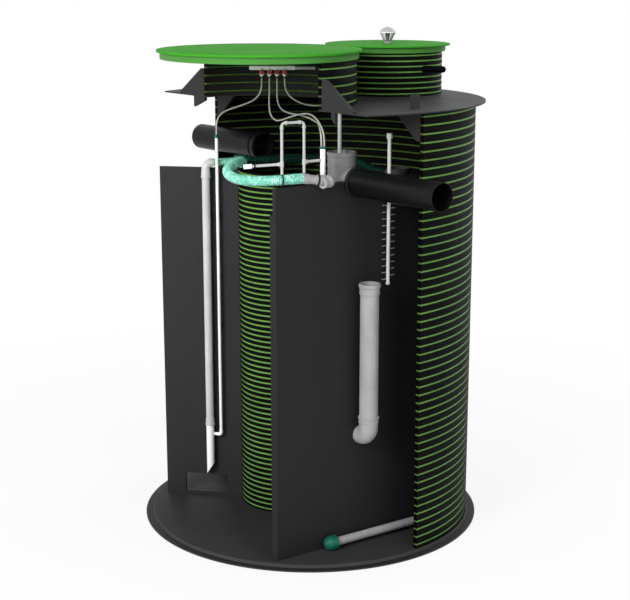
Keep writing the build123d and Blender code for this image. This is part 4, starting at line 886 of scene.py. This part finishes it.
# rubber rings: the tie round the hose, the ring on the spigot and the one at the branch's cap
rubber = {"soft": 0.0015, "sides": 44, "rings": [
    {"middle": Vector((-0.1413, -0.8951, 2.2553)), "way": Vector((-0.0934, -0.0257, -0.002)).normalized(),
     "width": 0.008, "radius": 0.033, "bore": 0.027},  # round the mint hose
    {"middle": ball - spigotWay * elbow["ringBack"], "way": spigotWay, "width": 0.011, "radius": 0.035, "bore": 0.029},
    {"middle": branchStart + branchWay * pipeFrame["ringAt"], "way": branchWay, "width": 0.008,
     "radius": 0.014, "bore": 0.0078}]}
work = bmesh.new()
for spec in rubber["rings"]:
    width, radius, half = spec["width"], spec["radius"], spec["way"] * spec["width"] / 2
    pipe(work, Track([spec["middle"] - half, spec["middle"] + half]),
         [(0.0, radius - rubber["soft"]), (rubber["soft"], radius), (width - rubber["soft"], radius),
          (width, radius - rubber["soft"])], spec["bore"], rubber["sides"])
piece("rubberRings", work, ["rubber"], ["rubber_rings"], "black_rubber")

start = Vector((riser["x"], riser["y"], riser["low"]))
pipePiece("riserPipe", straight(start, up, riser["length"]), riser["profile"], ["white"], ["riser_pipe"],
          "white_plastic", riser["bore"], riser["sides"])

# CAD nodes that keep their shape and get a finish
looks = {
    "sheet": ["cover_plate", "shaft_gussets", "plate_gussets", "shell_gussets", "lifting_lug", "left_partition"],
    # the front partition takes the darker sheet copy, painted shade
    "sheetPaintedShade": ["front_partition"],
    "grey": ["drain_pipe"],
    # the rear pipe takes the near-black grey copy, painted shade
    "rearGreyPaintedShade": ["rear_pipe"],
    "white": ["airlift_foot", "branch_cap"],
    "paleGrey": ["tee_rod"],
    "cutBlack": ["conduit_stub"],
    "cap": ["drain_cap", "hose_coupling", "hose_collars"],
    "rubber": ["pipe_clips"],
}
for kind, names in looks.items():
    for name in names:
        shape = nodes[name].data
        shape.materials.clear()
        shape.materials.append(materials[kind])
shown = {o.name for o in bpy.data.objects if o.get("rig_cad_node") and not o.hide_render}
print("parts without a look:", sorted(shown - {name for names in looks.values() for name in names}))

stage = {"size": 60.0, "drop": 0.0015, "floor": (0.8, 0.8, 0.8, 1), "roughness": 0.9, "specular": 0.1,
         "shadow": 0.22, "shadowReach": 5.0, "sky": 0.56}
white = (1, 1, 1, 1)


def seenRays(tree):
    # camera, glossy and transmission rays see the plain white background
    rays = addNode(tree, "ShaderNodeLightPath")
    seen = Signal(tree, rays.outputs["Is Camera Ray"])
    for kind in ("Is Glossy Ray", "Is Transmission Ray"):
        seen = seen.step("MAXIMUM", Signal(tree, rays.outputs[kind]))
    return seen


def mixed(tree, share, lit, plain, output):
    mixer = addNode(tree, "ShaderNodeMixShader", {0: share, 1: lit.outputs[0], 2: plain.outputs[0]})
    tree.links.new(mixer.outputs[0], tree.nodes[output].inputs[0])


ground = bpy.data.materials.new("floorPale")
ground.use_nodes = True
tree = ground.node_tree
lit = tree.nodes["Principled BSDF"]
lit.inputs["Base Color"].default_value = stage["floor"]
lit.inputs["Roughness"].default_value = stage["roughness"]
lit.inputs["Specular IOR Level"].default_value = stage["specular"]
# near the object a share of the lit floor shows, so that it keeps the shadow
place = addNode(tree, "ShaderNodeTexCoord")
scaled = addNode(tree, "ShaderNodeMapping",
                 {"Vector": place.outputs["Object"], "Scale": (1 / stage["shadowReach"],) * 3})
nearness = addNode(tree, "ShaderNodeTexGradient", {"Vector": scaled.outputs[0]}, gradient_type="SPHERICAL")
share = seenRays(tree) * (1 - Signal(tree, nearness.outputs["Fac"]) * stage["shadow"])
mixed(tree, share, lit, addNode(tree, "ShaderNodeEmission", {"Color": white, "Strength": 1.0}), "Material Output")
work = bmesh.new()
bmesh.ops.create_grid(work, x_segments=1, y_segments=1, size=stage["size"] / 2,
                      matrix=Matrix.Translation((0, 0, -stage["drop"])))
floorMesh = bpy.data.meshes.new("floor")
work.to_mesh(floorMesh)
work.free()
floorMesh.materials.append(ground)
floor = linked("floor", floorMesh)

world = bpy.data.worlds.new("studio")
bpy.context.scene.world = world
world.use_nodes = True
tree = world.node_tree
lit = tree.nodes["Background"]  # what lights the object
lit.inputs["Color"].default_value = white
lit.inputs["Strength"].default_value = stage["sky"]
mixed(tree, seenRays(tree), lit, addNode(tree, "ShaderNodeBackground", {"Color": white, "Strength": 1.0}),
      "World Output")

lamps = {
    "key": {"place": (-4.5, -7.0, 5.0), "aim": (0, 0, 1.4), "size": 3.5, "power": 650},
    "fill": {"place": (4.0, -6.5, 6.5), "aim": (0, 0, 1.4), "size": 4.0, "power": 180},
    "rim": {"place": (4.5, 4.0, 5.5), "aim": (0, 0, 1.6), "size": 3.0, "power": 150},
}
for name, spec in lamps.items():
    lamp = linked(name, bpy.data.lights.new(name, "AREA"))
    lamp.data.shape = "DISK"
    lamp.data.size = spec["size"]
    lamp.data.energy = spec["power"]
    lamp.location = spec["place"]
    lamp.rotation_euler = (Vector(spec["aim"]) - Vector(spec["place"])).to_track_quat("-Z", "Y").to_euler()
bpy.context.scene.view_settings.view_transform = "Standard"
print("stage and light set")
